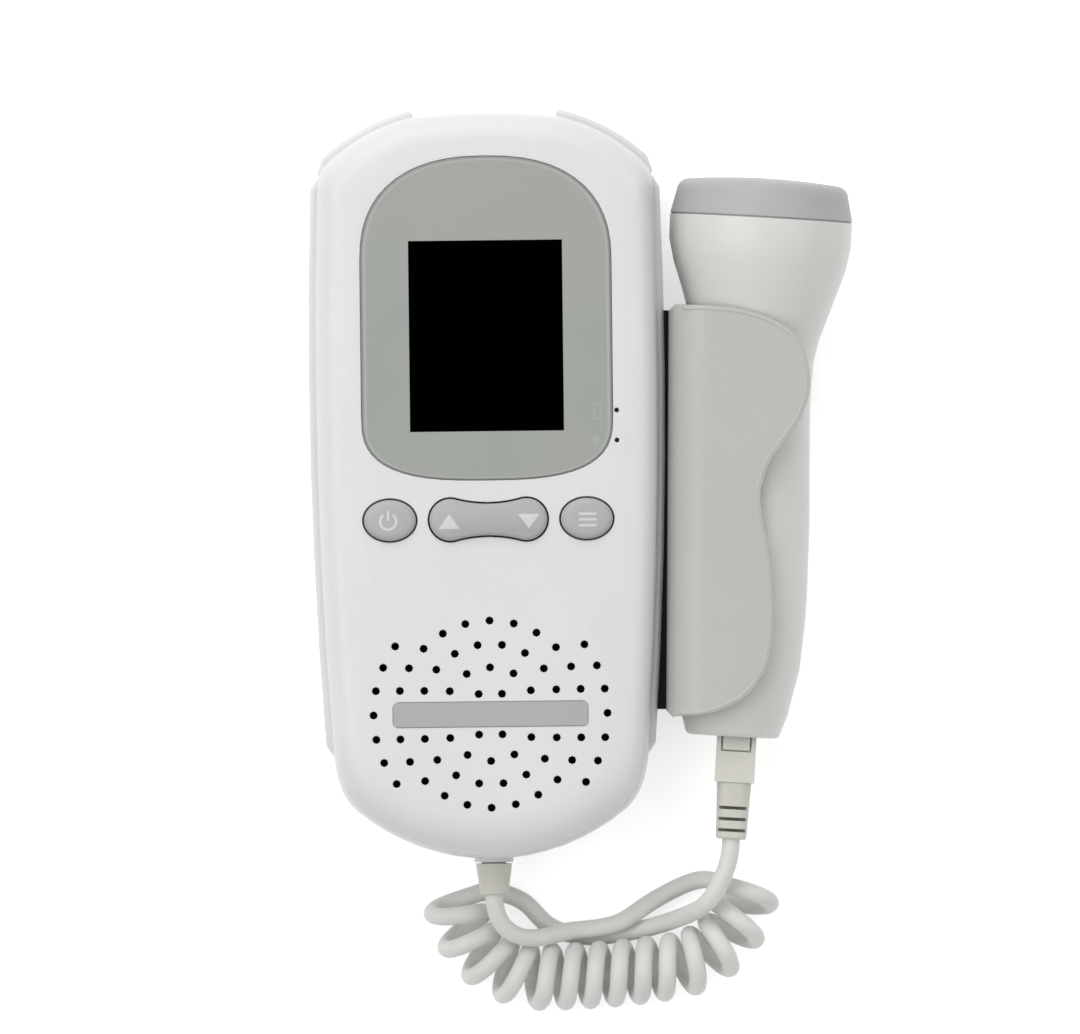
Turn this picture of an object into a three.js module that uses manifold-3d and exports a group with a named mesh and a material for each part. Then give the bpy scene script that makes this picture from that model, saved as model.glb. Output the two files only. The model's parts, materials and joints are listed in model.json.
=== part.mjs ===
// A hand-held fetal doppler: a flat unit with a display, keys and a speaker, an ultrasound probe in a clip
// holder on its side, and a curly cord between the two. Millimetres.
// The unit lies on its back: +Z points out of its face, +Y to its top end and +X to the holder.
// The origin is on the flat back, at the middle of the unit's length and width.
import * as THREE from 'three';
import { mergeVertices } from 'three/addons/utils/BufferGeometryUtils.js';
import Module from 'manifold-3d';

const wasm = await Module();
wasm.setup();

// Housing
const LENGTH = 149.6;
const HALF_WIDTH = 34.4;
const DEPTH = 38;
const WIDEST_Y = 22;
const SIDE_RADIUS = 1020;
const BOTTOM_RADIUS = 42;
const LOW_CORNER_Y = -53;
const HIGH_CORNER_Y = 60.5;
const SHOULDER_RADIUS = 37.4;
const SHOULDER_X = 6.2;
const SHOULDER_DOWN = 37.2;
const LOW_ARC_END = -50;
const SHOULDER_START = 49;
const SHOULDER_BAND_START = 47;
const RECESS_HALF = 14.8;
// The seam between the halves, up the depth
const partingShare = 0.71;
const PARTING_Z = DEPTH * partingShare;
const BACK_EDGE = 5;
const FACE_EDGE = 4.2;
const FACE_EDGE_DROP = 5.2;
const FACE_TOP_EDGE = 5;
const FACE_LOW_EDGE = 8.4;
const DRAFT = 0.4;
const SIDE_WALL = 2.2;
const FACE_WALL = 2.5;
const BACK_WALL = 2.4;
const SEAM = 0.3;

// Raised bands along the sides and on the two top corners of the rear half
const BAND_PROUD = 1.3;
const BAND_LOW_Y = -51.8;
const BAND_HIGH_Y = 59.6;
const BAND_CHAMFER = 2.2;
const BAND_BOTTOM_Z = 6;
const BAND_EDGE = 1.2;

// Clearances that every fit uses
const FIT = 0.3;
const RUNNING_FIT = 0.5;
const OVERRUN = 5;

// Window and display
const WINDOW_HALF_WIDTH = 24.9;
const WINDOW_BOTTOM_Y = 1.3;
const WINDOW_TOP_Y = 65.7;
const WINDOW_ARCH = 20.7;
const WINDOW_FOOT = 12.7;
const WINDOW_THICK = 1.2;
const WINDOW_PROUD = 0.2;
const WINDOW_BEVEL = 0.3;
const DISPLAY_Y = 30;
const DISPLAY_WIDTH = 33.2;
const DISPLAY_LENGTH = 40.4;
const LCD_RIM = 2.4;
const LCD_PANEL_THICK = 2.6;
const BACKLIGHT_THICK = 3;

// Keys
const KEY_Y = -6.8;
const KEY_X = 19.7;
const KEY_WIDTH = 11.1;
const KEY_HEIGHT = 8.9;
const KEY_GAP = 0.35;
const KEY_PROUD = 1.2;
const KEY_FLANGE = 1.1;
const KEY_FLANGE_THICK = 1.2;
const KEY_STEM_RADIUS = 1.6;
const KEY_TRAVEL = 0.8;
// Crown of a key, as shares of how far it stands proud and of its width and height
const keyCrownShares = [[0.7, 1], [0.3, 0.94], [0.08, 0.82], [0, 0.6]];
const ROCKER_LENGTH = 24.3;
const ROCKER_LOBE_RADIUS = 4.55;
const ROCKER_WAIST = 7;
const ROCKER_PIN_RADIUS = 0.8;
const ROCKER_PIN_LENGTH = 2.2;
const ROCKER_PIN_DOWN = 2.2;
const rockerCrownShares = [[0.6, 1, 1], [0.2, 0.975, 0.93], [0, 0.93, 0.8]];
const EAR_THICK = 1.3;
const EAR_HALF_WIDTH = 1.9;

// Speaker and grille
const SPEAKER_Y = -45.75;
const GRILLE_STEP = 4.68;
const GRILLE_HOLE_RADIUS = 0.83;
const GRILLE_RINGS = 5;
const GRILLE_HOLES_PER_RING = 6;
const OUTER_RING_HALF_ANGLE = 36.5;
const STRIP_LENGTH = 38.5;
const STRIP_HEIGHT = 4.5;
const STRIP_THICK = 0.9;
const STRIP_PROUD = 0.15;
const STRIP_CORNER = 0.85;
const SPEAKER_RADIUS = 20.4;
const SPEAKER_RIM = 2.4;
const SPEAKER_RIM_THICK = 1.6;
const SPEAKER_SHEET = 1.1;
const MAGNET_RADIUS = 13.5;
const SEAT_RING_WALL = 1.3;
const SEAT_RING_HEIGHT = 3;

// Boards, switches and lights
const BOARD_THICK = 1.6;
const BOARD_DROP = 7.4;
const BOARD_HALF_WIDTH = 27.4;
const BOARD_LOW_Y = -17;
const BOARD_HIGH_Y = 53.6;
const BOARD_CORNER = 2;
const PEG_RADIUS = 2;
const PEG_X = 23.2;
const PEG_LOW_Y = -14;
const PEG_HIGH_Y = 49;
const CHIP_SIZE = 12;
const SMALL_CHIP_SIZE = 7;
const CHIP_THICK = 1.4;
const PROCESSOR_Y = 32;
const AMPLIFIER_Y = 4;
const SWITCH_SIZE = 6;
const SWITCH_HEIGHT = 2.6;
const PLUNGER_HEIGHT = 0.7;
const PLUNGER_RADIUS = 1.7;
const LIGHT_X = 25.9;
const LIGHT_HIGH_Y = 14.8;
const LIGHT_LOW_Y = 8.8;
const LIGHT_HOLE_RADIUS = 0.5;
const LIGHT_PIN_RADIUS = 1;
const LIGHT_FOOT_THICK = 1.4;

// Batteries, bay and door
const CELL_RADIUS = 7.05;
const CELL_LENGTH = 49.5;
const CELL_NUB = 1;
const CELL_NUB_RADIUS = 2.6;
const BAY_TOP_Y = -6.8;
const BAY_WALL = 1.4;
const LEDGE_TOP_Z = 4;
const LEDGE_WIDTH = 1.2;
const CONTACT_THICK = 0.5;
const CONTACT_SPRING = 1.6;
const CONTACT_SPRING_RADIUS = 3;
const DOOR_THICK = 1.8;
const DOOR_LIFT = 0.25;
const DOOR_MARGIN = 2.2;
const GRIP_GROOVES = 4;
const GRIP_GROOVE_WIDTH = 1.2;
const GRIP_GROOVE_DEEP = 0.6;
const GRIP_GROOVE_LENGTH = 16;
const GRIP_PITCH = 2.6;
const GRIP_Y = -58;

// Screws
const SCREW_RADIUS = 1.25;
const SCREW_HEAD_RADIUS = 2.4;
const SCREW_HEAD_THICK = 1.6;
const SCREW_SLOT = 0.6;
const SCREW_SLOT_LENGTH = 3.8;
const SCREW_SINK = 1;
const POST_WALL = 1.5;
const TOP_SCREW_X = 26.2;
const TOP_SCREW_Y = 58.5;
const LOW_SCREW_X = 22.4;
const LOW_SCREW_Y = -60.5;
const SCREW_BITE = 6;

// Sockets in the top recess
const SOCKET_Z = 13;
const JACK_X = -7.5;
const JACK_BODY_RADIUS = 3.6;
const JACK_HOLE_RADIUS = 1.8;
const JACK_LENGTH = 12;
const PORT_X = 7;
const PORT_WIDTH = 9;
const PORT_HEIGHT = 4.4;
const PORT_LENGTH = 9;
const PORT_WALL = 0.7;
const SOCKET_BOARD_WIDTH = 30;
const SOCKET_BOARD_LENGTH = 15;
const SOCKET_BOARD_THICK = 1.2;
const SOCKET_POST_RADIUS = 2.2;
const RECESS_SKIN = 0.6;

// Holder
const HOLDER_TURN = 0.985 * Math.PI / 180;
const HOLDER_GAP = 0.55;
const HOLDER_Y = -5.4;
const HOLDER_LENGTH = 82.6;
const HOLDER_REACH = 28.2;
const HOLDER_WALL = 2.3;
const HOLDER_CORNER = 8;
const HOLDER_END_ROUND = 1.3;
const CHANNEL_HALF = 13.9;
const CHANNEL_FIT = 0.6;
const HOLDER_SCREW_HIGH_Y = 30;
const HOLDER_SCREW_LOW_Y = 12;
const HOLDER_SCREW_LENGTH = 8.5;
// The lip's edge from the top end round to the bottom end, as shares of the reach and the length
const lipShares = [
  [0.31, 0.498], [0.5, 0.491], [0.745, 0.465], [0.935, 0.415], [1, 0.335], [0.997, 0.285],
  [0.955, 0.237], [0.845, 0.177], [0.735, 0.125], [0.683, 0.08], [0.658, 0.035], [0.685, -0.035],
  [0.738, -0.134], [0.757, -0.265], [0.727, -0.355], [0.652, -0.414], [0.52, -0.461], [0.334, -0.489],
];

// Probe: its axis, then stations down the axis from the rim of its face
const PROBE_X = 55.83;
const PROBE_Y = 59.07;
const PROBE_Z = 19;
const PROBE_TURN = 3.85 * Math.PI / 180;
const PROBE_LENGTH = 110.2;
const HEAD_RADIUS = 18.45;
const PROBE_WALL = 2;
const FACE_DOME = 2;
const CAP_HEIGHT = 5.8;
const CAP_ROUND = 2.4;
const CAP_ROUND_HEIGHT = 2.6;
const CAP_CROWN = 0.8;
const CAP_SPIGOT = 3.4;
const CRYSTAL_RADIUS = 12;
const CRYSTAL_THICK = 1.5;
const CRYSTAL_SPLIT = 1;
const FOAM_THICK = 6;
const PROBE_BOARD_GAP = 9.2;
const PROBE_BOARD_DOWN = 30;
const SOCKET_WIDTH = 10.6;
const SOCKET_HEIGHT = 9.6;
const SOCKET_LENGTH = 13;
const PROBE_BOARD_LENGTH = PROBE_LENGTH - SOCKET_LENGTH - PROBE_BOARD_GAP - PROBE_BOARD_DOWN;
const SOCKET_SHIFT = 0.9;
// Down the axis, half width and sideways shift: a share of the length, then two of the head's radius
const probeStationShares = [
  [0, 0.938, 0], [0.05, 0.992, 0], [0.088, 1, 0], [0.125, 0.968, 0.01], [0.155, 0.915, 0.016],
  [0.205, 0.805, 0.02], [0.265, 0.693, 0.014], [0.32, 0.645, 0.003], [0.396, 0.642, 0.003],
  [0.5, 0.663, 0.012], [0.617, 0.689, 0.024], [0.768, 0.7, 0.028], [0.875, 0.668, 0.022],
  [0.947, 0.594, 0.003], [0.985, 0.548, 0], [1, 0.5, 0],
];
// How far the station curve is eased between its points
const PROBE_EASE_SHARE = 0.35;

// Plug and boot
const PLUG_WIDTH = 7.9;
const PLUG_HEIGHT = 6.6;
const PLUG_OUTSIDE = 9.2;
const PLUG_INSIDE = 6;
const LATCH_WIDTH = 5.4;
const LATCH_LENGTH = 9;
const LATCH_THICK = 0.9;
const LATCH_DEEP = 1.3;
const BOOT_LENGTH = 11.1;
const BOOT_TOP_WIDTH = 6.9;
const BOOT_END_WIDTH = 6.1;
const BOOT_HEIGHT_RATIO = 0.86;
const BOOT_GROOVES = 3;
const BOOT_GROOVE_PITCH = 2.25;
const BOOT_GROOVE_WIDTH = 0.55;
const BOOT_GROOVE_DEEP = 0.7;
const BOOT_SLOT_SHARE = 0.8;
const BOOT_FIRST_GROOVE = 4.55;

// Cord
const CORD_DIAMETER = 3.6;
const CORD_FACE_GAP = 0.3;
const COIL_RADIUS = 5.1;
const COIL_LIFT = 0.1;
const COIL_START_X = -7.5;
const COIL_START_Y = -83.5;
const COIL_START_HEADING = -83;
const COIL_LEFT_RADIUS = 17.6;
const COIL_LEFT_TURN = 83;
const COIL_LEFT_CURLS = 4.375;
const COIL_MIDDLE_RADIUS = 188;
const COIL_MIDDLE_TURN = 8;
const COIL_MIDDLE_CURLS = 5.375;
const COIL_RIGHT_RADIUS = 17.5;
const COIL_RIGHT_TURN = 77;
const COIL_RIGHT_CURLS = 3.875;
const CURL_STEPS = 8;
const CURL_SIDES = 5;
const TAIL_SIDES = 8;
const UNIT_TAIL_STEPS = 34;
const PROBE_TAIL_STEPS = 40;
const RELIEF_X = 0.3;
const RELIEF_Z = 15;
const RELIEF_LENGTH = 6.2;
const RELIEF_RADIUS = 3.65;
const RELIEF_END_RADIUS = 2.85;
const RELIEF_NECK_RADIUS = 2.5;
const RELIEF_FLANGE_RADIUS = 4.2;
const RELIEF_FLANGE_THICK = 1.5;
const COLLAR_LENGTH = 0.8;
const COLLAR_RADIUS = 3.9;

const QUARTER = Math.PI / 2;
const DEGREE = Math.PI / 180;
const TOP_Y = LENGTH / 2;
const BOTTOM_Y = -LENGTH / 2;

// Solids: closed meshes go to the boolean library and come back as buffer geometries
function solid(geometry) {
  const bare = geometry.index ? geometry.clone() : mergeVertices(geometry.clone());
  bare.deleteAttribute('normal');
  bare.deleteAttribute('uv');
  const merged = mergeVertices(bare);
  return new wasm.Manifold(new wasm.Mesh({
    numProp: 3,
    vertProperties: new Float32Array(merged.attributes.position.array),
    triVerts: new Uint32Array(merged.index.array),
  }));
}

function geometryOf(body) {
  const mesh = body.getMesh();
  const geometry = new THREE.BufferGeometry();
  geometry.setAttribute('position', new THREE.BufferAttribute(mesh.vertProperties, 3));
  geometry.setIndex(new THREE.BufferAttribute(mesh.triVerts, 1));
  return geometry;
}

function join(first, ...others) {
  return others.reduce((whole, piece) => whole.add(piece), first);
}

function cut(first, ...others) {
  return others.reduce((whole, piece) => whole.subtract(piece), first);
}

// A closed skin over rings of points that all have the same count, with flat ends
function skin(rings, cap) {
  const count = rings[0].length;
  const positions = rings.flat().flatMap((point) => [point.x, point.y, point.z]);
  const faces = [];
  const top = rings.length - 1;
  for (let level = 0; level < top; level += 1) {
    for (let i = 0; i < count; i += 1) {
      const here = level * count + i;
      const next = level * count + (i + 1) % count;
      faces.push(here, next, next + count, here, next + count, here + count);
    }
  }
  const last = top * count;
  for (const [a, b, c] of THREE.ShapeUtils.triangulateShape(cap, [])) {
    faces.push(a, c, b);
    faces.push(last + a, last + b, last + c);
  }
  const geometry = new THREE.BufferGeometry();
  geometry.setAttribute('position', new THREE.Float32BufferAttribute(positions, 3));
  geometry.setIndex(faces);
  return geometry;
}

// A plan outline, counter-clockwise, lofted through levels of [z, share of x, share of y, shift along y]
function loft(outline, levels, centre = new THREE.Vector2()) {
  const rings = levels.map(([z, shareX, shareY, shiftY = 0]) => outline.map((point) => new THREE.Vector3(
    centre.x + (point.x - centre.x) * shareX,
    centre.y + (point.y - centre.y) * shareY + shiftY,
    z,
  )));
  return solid(skin(rings, outline));
}

function prism(outline, low, high) {
  return loft(outline, [[low, 1, 1], [high, 1, 1]]);
}

function block(lowX, highX, lowY, highY, lowZ, highZ) {
  const geometry = new THREE.BoxGeometry(highX - lowX, highY - lowY, highZ - lowZ);
  geometry.translate((lowX + highX) / 2, (lowY + highY) / 2, (lowZ + highZ) / 2);
  return solid(geometry);
}

function ellipse(x, y, halfWidth, halfHeight, sides) {
  return Array.from({ length: sides }, (_, i) => new THREE.Vector2(
    x + halfWidth * Math.cos(i / sides * 4 * QUARTER),
    y + halfHeight * Math.sin(i / sides * 4 * QUARTER),
  ));
}

function rod(x, y, radius, low, high, sides = 16) {
  return prism(ellipse(x, y, radius, radius, sides), low, high);
}

function rodAlongY(x, z, radius, low, high, sides = 16) {
  const geometry = new THREE.CylinderGeometry(radius, radius, high - low, sides);
  geometry.translate(x, (low + high) / 2, z);
  return solid(geometry);
}

function rodAlongX(y, z, radius, low, high, sides = 16) {
  const geometry = new THREE.CylinderGeometry(radius, radius, high - low, sides);
  geometry.rotateZ(QUARTER);
  geometry.translate((low + high) / 2, y, z);
  return solid(geometry);
}

// A turned piece standing on the z axis, from [radius, z] corners
function turned(corners, sides = 32) {
  const geometry = new THREE.LatheGeometry(corners.map(([r, z]) => new THREE.Vector2(r, z)), sides);
  geometry.rotateX(QUARTER);
  return geometry;
}

function roundedRectangle(x, y, width, height, corner, steps = 4) {
  const shape = new THREE.Shape();
  const right = x + width / 2 - corner;
  const left = x - width / 2 + corner;
  const top = y + height / 2 - corner;
  const low = y - height / 2 + corner;
  shape.absarc(right, low, corner, -QUARTER, 0);
  shape.absarc(right, top, corner, 0, QUARTER);
  shape.absarc(left, top, corner, QUARTER, 2 * QUARTER);
  shape.absarc(left, low, corner, 2 * QUARTER, 3 * QUARTER);
  return distinct(shape.getPoints(steps / 2));
}

// The same points without neighbours that coincide
function distinct(points) {
  const near = 1e-4;
  return points.filter((point, i) => point.distanceTo(points[(i + 1) % points.length]) > near);
}

function mirrored(rightHalf) {
  const left = rightHalf.slice(1, -1).reverse().map((point) => new THREE.Vector2(-point.x, point.y));
  return [...rightHalf, ...left];
}

// The plan outline of the housing
function sideX(y) {
  return HALF_WIDTH - (y - WIDEST_Y) ** 2 / (2 * SIDE_RADIUS);
}

function sideHeading(y) {
  return new THREE.Vector2(-(y - WIDEST_Y) / SIDE_RADIUS, 1).normalize();
}

function arcPoint(centreX, centreY, radius, angle) {
  return new THREE.Vector2(centreX + radius * Math.cos(angle), centreY + radius * Math.sin(angle));
}

// Points of a smooth corner that leaves one point along its heading and arrives at the other along its own
function corner(from, fromHeading, to, toHeading, steps) {
  const across = fromHeading.x * toHeading.y - fromHeading.y * toHeading.x;
  const reach = ((to.x - from.x) * toHeading.y - (to.y - from.y) * toHeading.x) / across;
  const bend = from.clone().addScaledVector(fromHeading, reach);
  return new THREE.QuadraticBezierCurve(from, bend, to).getPoints(steps).slice(1, -1);
}

function housingOutline() {
  const lowCentre = BOTTOM_Y + BOTTOM_RADIUS;
  const lowEnd = LOW_ARC_END * DEGREE;
  const arcSteps = 8;
  const sideSteps = 6;
  const cornerSteps = 7;
  const points = [];
  for (let i = 0; i <= arcSteps; i += 1) {
    points.push(arcPoint(0, lowCentre, BOTTOM_RADIUS, -QUARTER + (lowEnd + QUARTER) * i / arcSteps));
  }
  const lowHeading = new THREE.Vector2(-Math.sin(lowEnd), Math.cos(lowEnd));
  const lowSide = new THREE.Vector2(sideX(LOW_CORNER_Y), LOW_CORNER_Y);
  points.push(...corner(points.at(-1), lowHeading, lowSide, sideHeading(LOW_CORNER_Y), cornerSteps));
  for (let i = 0; i <= sideSteps; i += 1) {
    const y = LOW_CORNER_Y + (HIGH_CORNER_Y - LOW_CORNER_Y) * i / sideSteps;
    points.push(new THREE.Vector2(sideX(y), y));
  }
  const highStart = SHOULDER_START * DEGREE;
  const highCentre = TOP_Y - SHOULDER_DOWN;
  const highHeading = new THREE.Vector2(-Math.sin(highStart), Math.cos(highStart));
  const shoulder = arcPoint(SHOULDER_X, highCentre, SHOULDER_RADIUS, highStart);
  points.push(...corner(points.at(-1), sideHeading(HIGH_CORNER_Y), shoulder, highHeading, cornerSteps));
  const highEnd = Math.acos((RECESS_HALF - SHOULDER_X) / SHOULDER_RADIUS);
  for (let i = 0; i <= arcSteps; i += 1) {
    const angle = highStart + (highEnd - highStart) * i / arcSteps;
    points.push(arcPoint(SHOULDER_X, highCentre, SHOULDER_RADIUS, angle));
  }
  const drop = TOP_Y - points.at(-1).y;
  const crownRadius = (RECESS_HALF ** 2 + drop ** 2) / (2 * drop);
  const crownAngle = Math.asin(RECESS_HALF / crownRadius);
  for (let i = 1; i <= arcSteps / 2; i += 1) {
    const angle = QUARTER - crownAngle * (1 - i / (arcSteps / 2));
    points.push(arcPoint(0, TOP_Y - crownRadius, crownRadius, angle));
  }
  return mirrored(points);
}

// The raised side bands as one plate that runs through the housing
function bandOutline() {
  const steps = 6;
  const half = [new THREE.Vector2(sideX(BAND_LOW_Y) - SIDE_WALL, BAND_LOW_Y - BAND_CHAMFER)];
  half.push(new THREE.Vector2(sideX(BAND_LOW_Y - BAND_CHAMFER), BAND_LOW_Y - BAND_CHAMFER));
  for (let i = 0; i <= steps; i += 1) {
    const y = BAND_LOW_Y + (BAND_HIGH_Y - BAND_LOW_Y) * i / steps;
    half.push(new THREE.Vector2(sideX(y) + BAND_PROUD, y));
  }
  half.push(new THREE.Vector2(sideX(BAND_HIGH_Y + BAND_CHAMFER), BAND_HIGH_Y + BAND_CHAMFER));
  half.push(new THREE.Vector2(sideX(BAND_HIGH_Y) - SIDE_WALL, BAND_HIGH_Y + BAND_CHAMFER));
  return [...half, ...half.slice().reverse().map((point) => new THREE.Vector2(-point.x, point.y))];
}

// One raised top corner, on the right, between the recess and the side
function shoulderOutline() {
  const steps = 7;
  const centreY = TOP_Y - SHOULDER_DOWN;
  const radius = SHOULDER_RADIUS + BAND_PROUD;
  const start = SHOULDER_BAND_START * DEGREE;
  const end = Math.acos((RECESS_HALF - SHOULDER_X) / radius);
  const points = [];
  for (let i = 0; i <= steps; i += 1) {
    points.push(arcPoint(SHOULDER_X, centreY, radius, start + (end - start) * i / steps));
  }
  points.push(new THREE.Vector2(RECESS_HALF, centreY + SHOULDER_RADIUS * Math.sin(start)));
  points.push(new THREE.Vector2(sideX(HIGH_CORNER_Y) - SIDE_WALL, HIGH_CORNER_Y + BAND_CHAMFER / 2));
  points.push(new THREE.Vector2(sideX(HIGH_CORNER_Y), HIGH_CORNER_Y + BAND_CHAMFER));
  return points;
}

// A level drawn in at the sides, and by its own amounts at the top and bottom ends
function insetLevel(z, inset, topInset = inset, lowInset = inset) {
  return [z, 1 - inset / HALF_WIDTH, 1 - (topInset + lowInset) / LENGTH, (lowInset - topInset) / 2];
}

// Levels of a body with rounded ends between two heights
function roundedLevels(low, high, lowEdge, highEdges, highDrop, base, steps) {
  const levels = [];
  for (let i = 0; i < steps; i += 1) {
    const angle = QUARTER * i / steps;
    const inset = base + DRAFT + lowEdge * (1 - Math.sin(angle));
    levels.push(insetLevel(low + lowEdge * (1 - Math.cos(angle)), inset));
  }
  levels.push(insetLevel(low + lowEdge, base + DRAFT));
  levels.push(insetLevel(PARTING_Z, base));
  for (let i = 0; i <= steps; i += 1) {
    const angle = QUARTER * i / steps;
    const [side, top, end] = highEdges.map((edge) => base + DRAFT + edge * (1 - Math.cos(angle)));
    levels.push(insetLevel(high - highDrop * (1 - Math.sin(angle)), side, top, end));
  }
  return levels;
}

function bandLevels() {
  return [
    insetLevel(BAND_BOTTOM_Z - BAND_EDGE, BAND_PROUD + DRAFT),
    insetLevel(BAND_BOTTOM_Z, DRAFT),
    insetLevel(PARTING_Z - BAND_EDGE, 0),
    insetLevel(PARTING_Z - SEAM, BAND_EDGE / 2),
  ];
}

const plan = housingOutline();
const edgeSteps = 4;
const faceEdges = [FACE_EDGE, FACE_TOP_EDGE, FACE_LOW_EDGE];
const caseOutside = loft(plan, roundedLevels(0, DEPTH, BACK_EDGE, faceEdges, FACE_EDGE_DROP, 0, edgeSteps));
const rightShoulder = shoulderOutline();
const leftShoulder = rightShoulder.map((point) => new THREE.Vector2(-point.x, point.y)).reverse();
const banded = join(
  caseOutside,
  loft(bandOutline(), bandLevels()),
  loft(rightShoulder, bandLevels()),
  loft(leftShoulder, bandLevels()),
);
const innerLevels = roundedLevels(
  BACK_WALL, DEPTH - FACE_WALL, BACK_EDGE - SIDE_WALL, faceEdges.map((edge) => edge - SIDE_WALL / 2),
  FACE_EDGE_DROP - SIDE_WALL, SIDE_WALL, 2,
);
const caseInside = loft(plan, innerLevels);
const WIDE = LENGTH;
const frontHalf = block(-WIDE, WIDE, -WIDE, WIDE, PARTING_Z + SEAM / 2, DEPTH + OVERRUN);
const rearHalf = block(-WIDE, WIDE, -WIDE, WIDE, -OVERRUN, PARTING_Z - SEAM / 2);
const INSIDE_TOP = DEPTH - FACE_WALL;

// Window: straight sides, a full arch at the top and a flatter one at the foot
function superArc(halfWidth, rise, power, steps) {
  return Array.from({ length: steps + 1 }, (_, i) => {
    const angle = QUARTER * i / steps;
    return new THREE.Vector2(
      halfWidth * Math.max(Math.cos(angle), 0) ** (2 / power),
      rise * Math.sin(angle) ** (2 / power),
    );
  });
}

function windowOutline(grow) {
  const archPower = 2.4;
  const footPower = 2.9;
  const steps = 13;
  const arch = superArc(WINDOW_HALF_WIDTH + grow, WINDOW_ARCH + grow, archPower, steps);
  const foot = superArc(WINDOW_HALF_WIDTH + grow, WINDOW_FOOT + grow, footPower, steps).reverse();
  const half = [
    ...foot.map((point) => new THREE.Vector2(point.x, WINDOW_BOTTOM_Y + WINDOW_FOOT - point.y)),
    ...arch.map((point) => new THREE.Vector2(point.x, WINDOW_TOP_Y - WINDOW_ARCH + point.y)),
  ];
  return mirrored(half);
}

// Rocker key: two round lobes with a drawn-in waist
function rockerOutline(grow) {
  const lobe = ROCKER_LOBE_RADIUS + grow;
  const lobeX = ROCKER_LENGTH / 2 - ROCKER_LOBE_RADIUS;
  const sweep = 112 * DEGREE;
  const curveSteps = 9;
  const end = arcPoint(lobeX, 0, lobe, sweep);
  const waistBend = ROCKER_WAIST + 2 * grow - end.y;
  const shape = new THREE.Shape();
  shape.absarc(lobeX, 0, lobe, -sweep, sweep);
  shape.quadraticCurveTo(0, waistBend, -end.x, end.y);
  shape.absarc(-lobeX, 0, lobe, 2 * QUARTER - sweep, 2 * QUARTER + sweep);
  shape.quadraticCurveTo(0, -waistBend, end.x, -end.y);
  return distinct(shape.getPoints(curveSteps)).map((point) => new THREE.Vector2(point.x, point.y + KEY_Y));
}

function keyOutline(x, grow) {
  return ellipse(x, KEY_Y, KEY_WIDTH / 2 + grow, KEY_HEIGHT / 2 + grow, 44);
}

// Grille: rings of holes at an even step, none on the horizontal, where the label strip lies;
// the outer ring keeps only the holes near that line, its ends included
function grilleHoles() {
  const places = [];
  for (let ring = 1; ring <= GRILLE_RINGS; ring += 1) {
    const count = ring * GRILLE_HOLES_PER_RING;
    const outer = ring === GRILLE_RINGS;
    for (let i = 0; i < count; i += 1) {
      const angle = i / count * 4 * QUARTER;
      const flat = Math.abs(Math.sin(angle)) < 1e-6;
      const nearFlat = Math.abs(Math.asin(Math.sin(angle))) < OUTER_RING_HALF_ANGLE * DEGREE;
      if (outer ? nearFlat : !flat) {
        places.push(arcPoint(0, SPEAKER_Y, ring * GRILLE_STEP, angle));
      }
    }
  }
  return places;
}

// Places that two or more pieces share
const KEY_FLANGE_TOP = INSIDE_TOP - FIT;
const KEY_FLANGE_LOW = KEY_FLANGE_TOP - KEY_FLANGE_THICK;
const BOARD_TOP_Z = INSIDE_TOP - BOARD_DROP;
const SWITCH_LOW_Z = BOARD_TOP_Z + FIT;
const PLUNGER_TOP_Z = SWITCH_LOW_Z + SWITCH_HEIGHT + PLUNGER_HEIGHT;
const KEY_STEM_LOW = PLUNGER_TOP_Z + KEY_TRAVEL + FIT;
const ROCKER_PIN_Z = INSIDE_TOP - ROCKER_PIN_DOWN;
const EAR_START_Y = ROCKER_WAIST / 2 + FIT;
const LENS_FLOOR = DEPTH + WINDOW_PROUD - WINDOW_THICK - FIT;
const STRIP_FLOOR = DEPTH + STRIP_PROUD - STRIP_THICK - FIT;
const pegs = [[-PEG_X, PEG_LOW_Y], [PEG_X, PEG_LOW_Y], [-PEG_X, PEG_HIGH_Y], [PEG_X, PEG_HIGH_Y]];
const screws = [
  [-TOP_SCREW_X, TOP_SCREW_Y], [TOP_SCREW_X, TOP_SCREW_Y],
  [-LOW_SCREW_X, LOW_SCREW_Y], [LOW_SCREW_X, LOW_SCREW_Y],
];
const POST_RADIUS = SCREW_RADIUS + FIT + POST_WALL;
const BAY_HALF = 2 * CELL_RADIUS + 2 * FIT + RUNNING_FIT / 2;
const BAY_LENGTH = CELL_LENGTH + CELL_NUB + CONTACT_SPRING + 2 * CONTACT_THICK + 4 * FIT;
const BAY_LOW_Y = BAY_TOP_Y - BAY_LENGTH;
const CELL_Z = LEDGE_TOP_Z + FIT + CELL_RADIUS;
const BAY_TOP_Z = CELL_Z + CELL_RADIUS;
const DOOR_HALF = BAY_HALF + DOOR_MARGIN;
const DOOR_TOP_Y = BAY_TOP_Y + DOOR_MARGIN;
const DOOR_TOP_Z = DOOR_LIFT + DOOR_THICK;

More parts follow.
